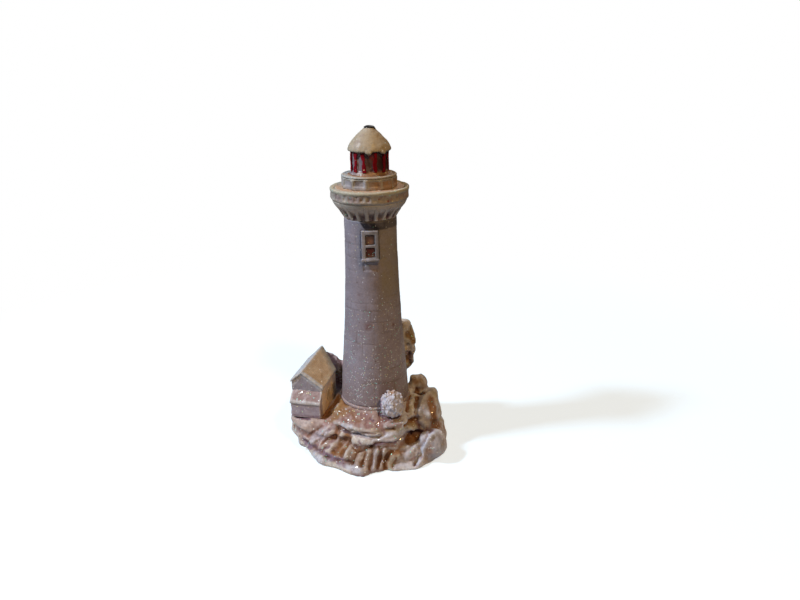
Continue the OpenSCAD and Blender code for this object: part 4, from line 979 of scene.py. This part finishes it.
def dabbedBush(shape, seed):
    piece = stoneFrom("bush", ["bush"])
    fuse(piece, 0.4)
    soften(piece, 4)
    no = directions(piece)
    co = places(piece) - no * shape["core"]
    putBack(piece, co)
    rng = np.random.default_rng(seed)
    able = np.where(co[:, 2] > co[:, 2].min() + shape["bareFoot"])[0]
    added = []
    for k in rng.choice(able, shape["dabs"], replace=False):
        size = rng.uniform(*shape["dabSize"])
        added.append(lump(co[k] - no[k] * size * 0.15, size, rng, (0.45, 0.8), 0.6))
    joinOnto(piece, added)
    fuse(piece, shape["voxel"])
    soften(piece, 2)
    roughen(piece, "CLOUDS", *shape["dents"])
    low, high = [np.array(corner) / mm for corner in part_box("bush")]
    putBack(piece, np.clip(places(piece), low, high))
    return piece


bush = dabbedBush(bushShape, 4)
bushAt = places(bush)
# brown on the top, and on the right side as paint and painted warm light both; purple on the left side, and
# at the foot as painted shade
brownSide = ramp(bushAt[:, 0], *bushShape["brownSide"]) * 0.6
purpleFoot = ramp(bushAt[:, 2], *bushShape["purpleFoot"]) * 0.8
noteValue(bush, "brownWash", np.maximum(dabs(bushAt, bushShape["brownTop"]), brownSide))
noteValue(bush, "purpleAndShade", np.maximum(ramp(bushAt[:, 0], *bushShape["purpleSide"]), purpleFoot))
finishCasting(bush, bushShape["paint"], 3, 10)


# the tower: plinth, shaft and window

tower = {
    "nodes": ["tower_shaft"], "voxel": 0.27, "melt": 2, "dents": [(9, 0.35), (2.2, 0.12)],
    "courses": (27.7, 32.5, 37.3, 42.2, 46.2, 50.2, 54.2, 58.8, 63.4, 68.0, 72.6, 77.2, 81.4),
    "blocks": 10, "jointWidth": 0.24, "jointDepth": 0.09, "jointed": ((20, 22), (82.5, 81.5)),
    "glitterFrom": (62, 26), "warmFoot": (34, 19), "warmMiddle": (80, 60),
    # painted warm light on the right and painted cool shade left of the window, by their angles round the
    # tower in degrees and their heights
    "olive": ((8, 26), (135, 85), (48, 68)), "cool": ((-42, -24), (4, -10), (64, 70)),
    "neckShade": 82.2, "shadeRise": 3.4, "riseFrom": (-8, -30), "riseTo": -150, "shadeBehind": (90, 130),
    "smudges": [((-1.7, -10.2, 48.9), 1.5), ((-2.4, -10.0, 48.0), 0.6), ((6.9, -7.6, 48.2), 0.8),
                ((7.1, -7.5, 47.6), 0.5), ((3.9, -9.5, 71.0), 1.2), ((1.0, -10.3, 66.5), 0.4),
                ((-1.0, -10.2, 53.9), 0.6), ((-5.0, -8.9, 60.0), 1.0), ((-6.5, 8.0, 35.0), 1.5),
                ((8.0, 6.0, 55.0), 1.2)],
    "paint": {"main": (0.295, 0.262, 0.312), "second": (0.25, 0.215, 0.25),
              "hollow": ((0.10, 0.065, 0.06), 0.55),
              "hollowFrom": (0.12, 0.7), "edge": ((0.26, 0.235, 0.245), 0.3), "pits": 0.45, "clouds": 8,
              "grain": 0.5, "denser": "glitterMore", "dust": (0.4, 0.09),
              # of these washes the olive is painted warm light, the cool blue-grey is painted shade and the
              # near-black grey is the gallery's painted shadow
              "washes": [("warmWash", (0.235, 0.16, 0.145), 0.8), ("smudge", (0.15, 0.065, 0.055), 0.6),
                         ("joint", (0.15, 0.115, 0.115), 0.42), ("oliveWash", (0.265, 0.225, 0.18), 0.85),
                         ("coolWash", (0.215, 0.215, 0.275), 0.85),
                         ("greyShade", (0.028, 0.028, 0.042), 0.9)]}}


def blockJoints(piece):
    # faint joints between the moulded blocks, worn away in places
    co = places(piece)
    z = co[:, 2]
    out = np.maximum(fromAxis(co), 1)
    courses = np.array(tower["courses"])
    row = np.searchsorted(courses, z)
    level = np.abs(z[:, None] - courses).min(1)
    turn = angleRound(co) / (2 * math.pi)
    part = (turn * tower["blocks"] + row * 0.5 + 0.13 * np.sin(row * 2.4)) % 1
    beside = np.minimum(part, 1 - part) * 2 * math.pi / tower["blocks"] * out
    line = np.exp(-(np.stack([level, beside * 1.15]) / tower["jointWidth"]) ** 2).max(0)
    line *= ramp(mottled(co, 7, 21), 0.35, 0.75)
    for limits in tower["jointed"]:
        line *= ramp(z, *limits)
    co[:, :2] *= (1 - tower["jointDepth"] * line / out)[:, None]
    putBack(piece, co)
    noteValue(piece, "joint", line)


def shaftWashes(piece):
    co = places(piece)
    z = co[:, 2]
    side = np.degrees(angleRound(co))
    lowGlitter = 1.4 * ramp(z, *tower["glitterFrom"])
    noteValue(piece, "glitterMore", 0.25 + lowGlitter + 0.4 * mottled(co, 20, 6))
    noteValue(piece, "smudge", dabs(co, tower["smudges"]))
    warmMiddle = ramp(z, *tower["warmMiddle"]) * 0.15 * mottled(co, 12, 9)
    noteValue(piece, "warmWash", ramp(z, *tower["warmFoot"]) * 0.6 + warmMiddle)
    # painted warm light on the upper right and painted cool shade left of the window
    for colour in ("olive", "cool"):
        begins, ends, heights = tower[colour]
        noteValue(piece, colour + "Wash", ramp(side, *begins) * ramp(side, *ends) * ramp(z, *heights))
    # the gallery's shadow painted under the neck: low in front, higher to the left, lighter behind
    rises = ramp(side, *tower["riseFrom"]) * (side > tower["riseTo"])
    shadeFrom = tower["neckShade"] + tower["shadeRise"] * rises
    behind = 1 - 0.4 * ramp(np.abs(side), *tower["shadeBehind"])
    noteValue(piece, "greyShade", ramp(z - shadeFrom, -0.25, 0.35) * behind)


shaft = casting("shaft", tower)
blockJoints(shaft)
shaftWashes(shaft)
finishCasting(shaft, tower["paint"], 4, 12)

plinthShape = {
    "nodes": ["tower_plinth"], "voxel": 0.2, "melt": 6, "dents": [(3, 0.3), (1, 0.1)],
    "paint": {"main": (0.30, 0.225, 0.25), "second": (0.27, 0.19, 0.205),
              "hollow": ((0.14, 0.075, 0.06), 0.8),
              "edge": ((0.37, 0.32, 0.31), 0.7), "clouds": 4, "denser": "glitterMore", "dust": (0.42, 0.12),
              "washes": [("warmWash", (0.25, 0.15, 0.13), 0.5)]}}
plinth = casting("plinth", plinthShape)
shaftWashes(plinth)
finishCasting(plinth, plinthShape["paint"])

surroundShape = {
    "nodes": ["window_surround"], "voxel": 0.14, "melt": 10, "dents": [(1.5, 0.14)], "leftBar": (0.4, -1.6),
    "paint": {"main": (0.24, 0.235, 0.26), "second": (0.21, 0.20, 0.22), "hollow": ((0.17, 0.14, 0.15), 0.5),
              "edge": ((0.29, 0.28, 0.31), 0.6), "pits": 0.2, "clouds": 3, "dust": (0.4, 0.02),
              "washes": [("leftStileLight", (0.37, 0.37, 0.45), 0.85)]}}
surround = casting("surround", surroundShape)
# the left stile painted paler and bluer: painted light
noteValue(surround, "leftStileLight", ramp(places(surround)[:, 0], *surroundShape["leftBar"]))
finishCasting(surround, surroundShape["paint"])

paneShape = {
    "nodes": ["window_panes"], "voxel": 0.14, "melt": 4, "dents": [(1.2, 0.2)], "lowPane": (77.3, 76.7),
    "paleDabs": [((-0.4, -9.3, 78.2), 1.0), ((-0.6, -9.4, 73.4), 0.7), ((0.2, -9.4, 73.5), 0.6)],
    "paint": {"main": (0.085, 0.06, 0.065), "second": (0.12, 0.09, 0.095),
              "hollow": ((0.05, 0.02, 0.02), 0.6),
              "edge": ((0.17, 0.11, 0.10), 0.3), "pits": 0.2, "clouds": 2, "rough": 0.25, "coat": 0.5,
              "washes": [("redWash", (0.13, 0.03, 0.022), 0.8), ("palePaintAndLight", (0.42, 0.24, 0.20), 0.8)],
              "denser": "glitterMore", "dust": (0.45, 0.12)}}
panes = casting("panes", paneShape)
paneAt = places(panes)
lowPane = ramp(paneAt[:, 2], *paneShape["lowPane"])
noteValue(panes, "redWash", lowPane * 0.9)
noteValue(panes, "palePaintAndLight", 0.15 * (1 - lowPane) + dabs(paneAt, paneShape["paleDabs"]))
noteValue(panes, "glitterMore", 0.4 + lowPane * 1.6)
finishCasting(panes, paneShape["paint"])


# the gallery: hollow bowl with its corbels, the parapet and the deck

bowlShape = {
    "nodes": ["gallery_bowl", "gallery_corbels"], "voxel": 0.2, "melt": 12,
    "dents": [(2.5, 0.35), (0.9, 0.12)], "corbels": 20, "turn": -6.7,
    # the ribs are measured in steps of height; a hollow is filled out to them up to the deepest
    "lowest": 85, "highest": 91.6, "step": 0.2, "ribShare": 96, "arches": (87.4, 89.6), "deepest": 2.2,
    "facingOut": 0.15, "lip": (90.3, 91.0), "lipFrom": 11, "lipUp": 0.35, "lipOut": 0.3,
    "rise": (85.6, 90.6), "lowPart": (0.62, 0.15), "between": (0.15, 0.75), "creamFrom": (89.7, 90.7),
    "paint": {"main": (0.50, 0.445, 0.41), "second": (0.42, 0.355, 0.33),
              "hollow": ((0.33, 0.23, 0.215), 0.6),
              "hollowFrom": (0.05, 0.8), "edge": ((0.58, 0.52, 0.455), 0.9), "pits": 0.2, "clouds": 3,
              "washes": [("depth", (0.125, 0.07, 0.075), 0.9), ("creamWash", (0.44, 0.40, 0.36), 0.8)],
              "dust": (0.45, 0.04)}}


def archedHollows(piece, shape):
    # the hollows between the corbels run out into arches below the floor
    co = places(piece)
    out = fromAxis(co)
    outward = (directions(piece)[:, :2] * co[:, :2]).sum(1) / np.maximum(out, 1)
    levels = np.arange(shape["lowest"], shape["highest"], shape["step"])
    ribs = [np.percentile(out[np.abs(co[:, 2] - level) < shape["step"]], shape["ribShare"])
            for level in levels]
    short = np.interp(co[:, 2], levels, ribs) - out
    hollow = (outward > shape["facingOut"]) * (short < shape["deepest"])
    fill = np.clip(short, 0, shape["deepest"]) * hollow * ramp(co[:, 2], *shape["arches"])
    co[:, :2] *= (1 + fill / np.maximum(out, 1))[:, None]
    putBack(piece, co)
    soften(piece, 4)


def flaredLip(piece, shape):
    co = places(piece)
    out = fromAxis(co)
    topEdge = ramp(co[:, 2], *shape["lip"]) * (out > shape["lipFrom"])
    co[:, 2] += shape["lipUp"] * topEdge
    co[:, :2] *= (1 + shape["lipOut"] * topEdge / np.maximum(out, 1))[:, None]
    putBack(piece, co)


bowl = casting("bowl", bowlShape)
archedHollows(bowl, bowlShape)
flaredLip(bowl, bowlShape)
bowlAt = places(bowl)
rise = ramp(bowlAt[:, 2], *bowlShape["rise"])
ribTurn = angleRound(bowlAt) - math.radians(bowlShape["turn"])
between = 0.5 - 0.5 * np.cos(ribTurn * bowlShape["corbels"])
# painted shade in the lower part of the hollows between the corbels
noteValue(bowl, "depth", ramp(rise, *bowlShape["lowPart"]) * ramp(between, *bowlShape["between"]))
noteValue(bowl, "creamWash", ramp(bowlAt[:, 2], *bowlShape["creamFrom"]))
finishCasting(bowl, bowlShape["paint"], 4, 14)

parapetShape = {
    "nodes": ["gallery_parapet"], "voxel": 0.17, "melt": 11, "dents": [(3.5, 0.4), (1.1, 0.14)],
    "rim": (94.1, 94.6), "belowRim": (94.5, 94.0), "aboveFloor": (91.9, 92.2),
    "redDots": [((-7.3, -10.4, 94.4), 0.34), ((-1.9, -12.6, 94.4), 0.3), ((4.7, -11.8, 94.3), 0.42),
                ((5.7, -11.4, 92.3), 0.42), ((2.8, -12.4, 93.3), 0.34), ((-0.3, -12.7, 92.7), 0.3),
                ((-5.6, -11.4, 93.3), 0.3), ((-8.4, 9.5, 93.2), 0.34), ((9.6, 8.3, 93.0), 0.34)],
    "paint": {"main": (0.41, 0.37, 0.335), "second": (0.35, 0.30, 0.265),
              "hollow": ((0.24, 0.18, 0.17), 0.55),
              "hollowFrom": (0.05, 0.8), "edge": ((0.44, 0.40, 0.34), 0.7), "pits": 0.25, "clouds": 3.5,
              "washes": [("pinkWash", (0.27, 0.20, 0.205), 0.6), ("rimWash", (0.44, 0.425, 0.34), 0.9),
                         ("redDots", (0.19, 0.015, 0.03), 1.0)],
              "dust": (0.45, 0.045)}}
parapet = casting("parapet", parapetShape)
parapetAt = places(parapet)
height = parapetAt[:, 2]
panelBand = ramp(height, *parapetShape["belowRim"]) * ramp(height, *parapetShape["aboveFloor"])
noteValue(parapet, "rimWash", ramp(height, *parapetShape["rim"]))
noteValue(parapet, "redDots", dabs(parapetAt, parapetShape["redDots"]))
noteValue(parapet, "pinkWash", panelBand * ramp(mottled(parapetAt, 2, 2), 0.3, 0.7))
finishCasting(parapet, parapetShape["paint"])

deckShape = {
    "nodes": ["gallery_deck"], "voxel": 0.22, "melt": 3, "dents": [(2, 0.4), (0.8, 0.2)],
    "paint": {"main": (0.46, 0.29, 0.18), "second": (0.48, 0.34, 0.26), "hollow": ((0.20, 0.10, 0.05), 0.6),
              "edge": ((0.44, 0.37, 0.32), 0.6), "pits": 0.2, "clouds": 2, "dust": (0.5, 0.30)}}
deck = casting("deck", deckShape)
finishCasting(deck, deckShape["paint"])


# the pedestal and its cap

standShape = {
    "nodes": ["lantern_pedestal"], "voxel": 0.17, "melt": 16, "dents": [(3, 0.3), (1, 0.1)],
    "front": (3.0, -1.0), "brownSide": (-1.6, 2.4), "foot": (96.2, 95.3), "topEdge": (97.9, 98.3),
    # ribs at the corners of the twelve sides, in degrees round the tower
    "firstRib": -34, "ribStep": 30, "ribHalf": (4.2, 2.2), "greyDabs": [((-4.3, -7.9, 97.2), 2.1)],
    "paint": {"main": (0.37, 0.345, 0.365), "second": (0.315, 0.275, 0.295),
              "hollow": ((0.22, 0.165, 0.165), 0.5),
              "edge": ((0.46, 0.42, 0.38), 0.85), "pits": 0.2, "clouds": 4,
              "washes": [("greyShade", (0.17, 0.14, 0.145), 0.8), ("brownWash", (0.34, 0.19, 0.10), 0.8),
                         ("topWash", (0.44, 0.42, 0.38), 0.75)],
              "dust": (0.45, 0.03)}}
stand = casting("stand", standShape)
standAt = places(stand)
# brown on the right of the front, paint and painted warm light both, with patches behind and a band at the
# foot
front = ramp(standAt[:, 1], *standShape["front"])
inFront = ramp(standAt[:, 0], *standShape["brownSide"]) * front * 0.9
behind = (1 - front) * ramp(mottled(standAt, 6, 5), 0.5, 0.8) * 0.6
noteValue(stand, "brownWash", inFront + 0.35 * ramp(standAt[:, 2], *standShape["foot"]) + behind)
step = standShape["ribStep"]
offRib = np.abs((np.degrees(angleRound(standAt)) - standShape["firstRib"] + step / 2) % step - step / 2)
ribTops = ramp(offRib, *standShape["ribHalf"]) * 0.8
noteValue(stand, "topWash", np.maximum(ramp(standAt[:, 2], *standShape["topEdge"]), ribTops))
# the grey dab on the left of the front is painted shade
noteValue(stand, "greyShade", dabs(standAt, standShape["greyDabs"]))
finishCasting(stand, standShape["paint"])

standCapShape = {
    "nodes": ["pedestal_cap"], "voxel": 0.16, "melt": 4, "dents": [(3, 0.3), (0.9, 0.1)],
    "brownWithin": (7.8, 6.9), "brownAbove": (99.0, 99.3), "whiteSide": (-0.5, -4.5),
    "glitterWithin": (8.5, 7.7),
    "paint": {"main": (0.38, 0.335, 0.285), "second": (0.34, 0.28, 0.225),
              "hollow": ((0.20, 0.12, 0.08), 0.6),
              "edge": ((0.44, 0.40, 0.35), 0.6), "pits": 0.2, "clouds": 3,
              "washes": [("leftSideLight", (0.42, 0.45, 0.47), 0.8), ("brownWash", (0.27, 0.13, 0.06), 0.9)],
              "denser": "glitterMore", "dust": (0.45, 0.07)}}
standCap = casting("standCap", standCapShape)
capAt = places(standCap)
capOut = fromAxis(capAt)
brownTop = ramp(capOut, *standCapShape["brownWithin"]) * ramp(capAt[:, 2], *standCapShape["brownAbove"])
noteValue(standCap, "brownWash", brownTop)
# the left side painted paler and bluer: painted light
noteValue(standCap, "leftSideLight", ramp(capAt[:, 0], *standCapShape["whiteSide"]))
noteValue(standCap, "glitterMore", 0.3 + 2.2 * ramp(capOut, *standCapShape["glitterWithin"]))
finishCasting(standCap, standCapShape["paint"])


# the lantern: dark panes, brushed red bars, the roof and its black cap

lantern = {"foot": 99.6, "eave": 107.0, "radius": 6.1, "middle": 0.3, "turn": -13, "bars": 12}

drumShape = {
    "nodes": ["lantern_drum"], "voxel": 0.16, "melt": 4, "dents": [(2, 0.25), (0.8, 0.1)], "backFrom": 1.5,
    # from the left pane to the right one, in shares of the radius
    "darkSide": (-0.55, 0.15), "blackSide": (0.15, 0.7), "underEaveSide": (-0.35, 0.1),
    "sillSide": (-1.1, -0.2),
    # heights in mm
    "underEave": (105.6, 106.8), "aboveSill": (100.4, 101.4), "sill": (101.2, 100.2),
    "glitterSill": (101.0, 100.2),
    "redDabs": [((0.3, -6.1, 106.3), 0.7), ((0.9, -6.1, 105.5), 0.7), ((1.5, -6.0, 104.8), 0.7),
                ((1.9, -5.9, 106.7), 0.9), ((2.4, -5.8, 105.7), 0.6), ((6.3, -0.4, 106.4), 0.8)],
    "paint": {"main": (0.27, 0.215, 0.245), "second": (0.22, 0.165, 0.19),
              "hollow": ((0.10, 0.055, 0.06), 0.6),
              "edge": ((0.32, 0.27, 0.29), 0.3), "pits": 0.2, "clouds": 2.5, "rough": 0.35, "coat": 0.3,
              "washes": [("darkPaintAndShade", (0.095, 0.045, 0.040), 0.9), ("blackPaintAndShade", (0.03, 0.012, 0.009), 0.85),
                         ("brownWash", (0.28, 0.14, 0.06), 0.9), ("redWash", (0.26, 0.008, 0.018), 0.95)],
              "denser": "glitterMore", "dust": (0.45, 0.08)}}
drum = casting("drum", drumShape)
drumAt = places(drum)
height = drumAt[:, 2]
across = (drumAt[:, 0] - lantern["middle"]) / lantern["radius"]
atBack = drumAt[:, 1] >= drumShape["backFrom"]
backPatches = ramp(mottled(drumAt, 5, 3), 0.3, 0.6)
# the panes darken from left to right, paint and painted shade both, with dark patches behind; under the eave
# the black is painted shade
noteValue(drum, "darkPaintAndShade", np.where(atBack, backPatches, ramp(across, *drumShape["darkSide"])))
underEave = ramp(height, *drumShape["underEave"]) * ramp(across, *drumShape["underEaveSide"])
black = np.maximum(ramp(across, *drumShape["blackSide"]), underEave) * 0.8
noteValue(drum, "blackPaintAndShade", black * ramp(height, *drumShape["aboveSill"]))
noteValue(drum, "brownWash", ramp(height, *drumShape["sill"]) * ramp(across, *drumShape["sillSide"]))
noteValue(drum, "redWash", dabs(drumAt, drumShape["redDabs"]))
noteValue(drum, "glitterMore", 0.15 + 2.0 * ramp(height, *drumShape["glitterSill"]))
finishCasting(drum, drumShape["paint"])

barShape = {
    "voxel": 0.11, "melt": 3, "dents": (1.2, 0.18), "widen": 1.3, "swell": 0.3, "wobble": 0.16,
    # how far the two bars in front slip aside and the shift from one bar's waves to the next, in radians
    "slips": (-0.07, -0.10), "nextPhase": 2.399,
    "darkTop": (106.3, 107.0), "darkSide": (1.5, 5.0),
    "paint": {"main": (0.27, 0.006, 0.016), "second": (0.19, 0.004, 0.011),
              "hollow": ((0.11, 0.003, 0.008), 0.7),
              "edge": ((0.31, 0.01, 0.024), 0.3), "pits": 0.15, "clouds": 1.5, "rough": 0.4, "coat": 0.08,
              "shine": 0.1, "washes": [("darkPaintAndShade", (0.05, 0.004, 0.006), 0.8)], "dust": (0.4, 0.015)}}


def brushedBars(name, shape):
    # red strokes of the brush over the moulded bars: each one sways and swells on its own
    piece = stoneFrom(name, ["lantern_bars"])
    fuse(piece, shape["voxel"])
    soften(piece, shape["melt"])
    co = places(piece) - np.array((lantern["middle"], 0, 0))
    turn = math.radians(lantern["turn"])
    around = angleRound(co) - turn
    step = 2 * math.pi / lantern["bars"]
    index = np.round(around / step)
    slip = np.select([index == -1, index == 0], shape["slips"], 0.0)
    off = (around - index * step) * lantern["radius"]
    height = (co[:, 2] - lantern["foot"]) / (lantern["eave"] - lantern["foot"])
    phase = (index * shape["nextPhase"]) % 6.283
    sway = shape["wobble"] * (np.sin(height * 5.5 + phase) + 0.5 * np.sin(height * 12 + 2.1 * phase))
    swell = shape["swell"] * (np.sin(height * 8 + 1.7 * phase) + 0.6 * np.sin(height * 19 + phase))
    turned = index * step + (off * (shape["widen"] + swell) + sway) / lantern["radius"] + turn + slip
    out = fromAxis(co)
    co[:, 0] = np.sin(turned) * out + lantern["middle"]
    co[:, 1] = -np.cos(turned) * out
    putBack(piece, co)
    roughen(piece, "CLOUDS", *shape["dents"])
    return piece


bars = brushedBars("bars", barShape)
barAt = places(bars)
# the bars are painted darker under the roof and towards the right: painted shade
darkSide = ramp(barAt[:, 0], *barShape["darkSide"]) * 0.5
noteValue(bars, "darkPaintAndShade", np.maximum(ramp(barAt[:, 2], *barShape["darkTop"]) * 0.6, darkSide))
finishCasting(bars, barShape["paint"], 3, 8)

topShape = {
    "nodes": ["lantern_roof"], "voxel": 0.2, "melt": 5, "dents": [(5, 0.5), (1.6, 0.14)],
    "drips": [(0.2, -6.7, 107.1, 1.0), (-0.5, -6.8, 107.3, 0.75), (4.3, -5.4, 107.15, 0.9),
              (5.1, -4.7, 107.3, 0.65)],
    "ochreSide": (-1.5, 4.0), "underEave": (107.4, 107.0), "underWithin": (6.9, 6.5),
    "underSide": (-1.5, 1.5),
    "mauveDabs": [((-3.4, -4.6, 109.6), 1.7), ((-2.0, -3.2, 112.0), 0.9), ((3.8, 4.2, 109.8), 1.8)],
    "blackDabs": [((7.0, -0.2, 106.9), 0.8)],
    "paint": {"main": (0.42, 0.36, 0.285), "second": (0.385, 0.32, 0.235),
              "hollow": ((0.24, 0.15, 0.09), 0.5),
              "edge": ((0.50, 0.44, 0.37), 0.6), "pits": 0.25, "clouds": 3.5,
              "washes": [("ochreWash", (0.40, 0.285, 0.14), 0.8), ("mauveWash", (0.25, 0.18, 0.17), 0.5),
                         ("underEaveShade", (0.12, 0.06, 0.05), 0.8), ("blackDab", (0.02, 0.008, 0.01), 1.0)],
              "dust": (0.45, 0.02)}}
top = casting("top", topShape)
topAt = places(top)
patches = ramp(mottled(topAt, 4, 11), 0.25, 0.7)
# ochre in patches on the right side: paint and painted warm light both
noteValue(top, "ochreWash", patches * ramp(topAt[:, 0], *topShape["ochreSide"]))
noteValue(top, "mauveWash", dabs(topAt, topShape["mauveDabs"]))
noteValue(top, "blackDab", dabs(topAt, topShape["blackDabs"]))
# painted shade under the eave, darker to the right
underneath = ramp(topAt[:, 2], *topShape["underEave"]) * ramp(fromAxis(topAt), *topShape["underWithin"])
noteValue(top, "underEaveShade", underneath * (0.35 + 0.65 * ramp(topAt[:, 0], *topShape["underSide"])))
finishCasting(top, topShape["paint"])

capShape = {
    "nodes": ["roof_cap"], "voxel": 0.11, "melt": 3, "dents": [(0.9, 0.16)],
    # the black paint ran down on the right: where, and how far down and out
    "runSide": (0.7, 1.7), "runBelow": (114.75, 114.25), "runMiddle": -0.3, "runHalf": (1.1, 0.2),
    "runDown": 0.75, "runOut": 0.38,
    "paint": {"main": (0.012, 0.010, 0.012), "second": (0.020, 0.017, 0.018),
              "hollow": ((0.006, 0.005, 0.005), 0.5),
              "edge": ((0.03, 0.027, 0.028), 0.4), "pits": 0.1, "clouds": 1.5, "rough": 0.3, "coat": 0.4,
              "dust": (0.4, 0.0)}}
blackCap = casting("blackCap", capShape)
capAt = places(blackCap)
run = ramp(capAt[:, 0], *capShape["runSide"]) * ramp(capAt[:, 2], *capShape["runBelow"])
run *= ramp(np.abs(capAt[:, 1] - capShape["runMiddle"]), *capShape["runHalf"])
capAt[:, 2] -= capShape["runDown"] * run
capAt[:, 0] += capShape["runOut"] * run
putBack(blackCap, capAt)
finishCasting(blackCap, capShape["paint"], 3, 8)


# floor, lamps and camera

studio = {
    "floor": (0.34, 0.47, 0.58), "floorSpeckle": (0.35, 0.48, 0.59), "lift": 0.66,
    # light that the table throws back, and how far out it reaches in metres
    "bounce": (0.72, 0.72, 0.72), "farBounce": (0.08, 0.08, 0.08), "bounceReach": (0.05, 0.14),
    "shadowReach": (0.10, 0.26), "skyStrength": 0.08, "aim": (0, 0, 0.05),
    # place, size, power and colour
    "lamps": {"window": ((-0.627, -0.111, 0.686), 0.09, 8.6, (0.82, 0.91, 1.0)),
              "room": ((0.280, -0.505, 0.739), 0.09, 3.1, (1.0, 0.60, 0.20)),
              "behind": ((0.20, 0.60, 0.50), 0.40, 0.7, (1.0, 0.97, 0.94))}}


def seenByCamera(tree):
    # 1 for rays that come from the camera, also through glass
    rays = tree.nodes.new("ShaderNodeLightPath")
    return maths(tree, "MAXIMUM", rays.outputs["Is Camera Ray"], rays.outputs["Is Transmission Ray"])


def mixedShader(tree, amount, first, second):
    return socketFrom(tree, "ShaderNodeMixShader", {0: amount, 1: first, 2: second})


def floorFinish():
    # pale blue with soft shadows near the piece, plain white far out
    finish, tree, shader = newFinish("paleFloor")
    spot = objectSpot(tree)
    speckle = cloudy(tree, spot, 40.0)
    tone = colourMix(tree, speckle, studio["floor"], studio["floorSpeckle"])
    tree.links.new(tone, shader.inputs["Base Color"])
    shader.inputs["Roughness"].default_value = 0.9
    away = socketFrom(tree, "ShaderNodeVectorMath", {0: spot}, out=1, operation="LENGTH")
    far = fade(tree, away, *studio["shadowReach"])
    lift = socketFrom(tree, "ShaderNodeEmission", {"Strength": studio["lift"]})
    white = socketFrom(tree, "ShaderNodeEmission")
    lifted = socketFrom(tree, "ShaderNodeAddShader", {0: shader.outputs[0], 1: lift})
    nearTable = fade(tree, away, *studio["bounceReach"])
    tableTone = colourMix(tree, nearTable, studio["bounce"], studio["farBounce"])
    table = socketFrom(tree, "ShaderNodeBsdfDiffuse", {"Color": tableTone})
    shown = mixedShader(tree, far, lifted, white)
    either = mixedShader(tree, seenByCamera(tree), table, shown)
    tree.links.new(either, tree.nodes["Material Output"].inputs["Surface"])
    return finish


letGo()
bpy.ops.mesh.primitive_plane_add(size=6, location=(0, 0, 0))
floor = bpy.context.active_object
floor.name = "floor"
floor.data.materials.append(floorFinish())

sky = bpy.data.worlds.new("paleSky")
sky.use_nodes = True
bpy.context.scene.world = sky
tree = sky.node_tree
background = tree.nodes["Background"]
levels = {0: seenByCamera(tree), 2: studio["skyStrength"], 3: 1.0}
tree.links.new(socketFrom(tree, "ShaderNodeMix", levels, data_type="FLOAT"), background.inputs["Strength"])
background.inputs["Color"].default_value = (1, 1, 1, 1)

for lampName, (at, size, power, colour) in studio["lamps"].items():
    letGo()
    bpy.ops.object.light_add(type="AREA", location=at)
    lamp = bpy.context.active_object
    lamp.name = lampName + "Lamp"
    lamp.data.size = size
    lamp.data.energy = power
    lamp.data.color = colour
    lamp.rotation_euler = (Vector(studio["aim"]) - Vector(at)).to_track_quat("-Z", "Y").to_euler()
print("stage lit")

right, up, ahead = photoAxes()
letGo()
bpy.ops.object.camera_add(location=photoView["at"])
camera = bpy.context.active_object
camera.rotation_euler = Matrix((right, up, -ahead)).transposed().to_euler()
camera.data.sensor_width = 36
camera.data.lens = camera.data.sensor_width * photoView["lens"] / photoView["wide"]
camera.data.clip_start = 0.01
camera.data.clip_end = 20
bpy.context.scene.camera = camera
bpy.context.scene.view_settings.view_transform = "Standard"
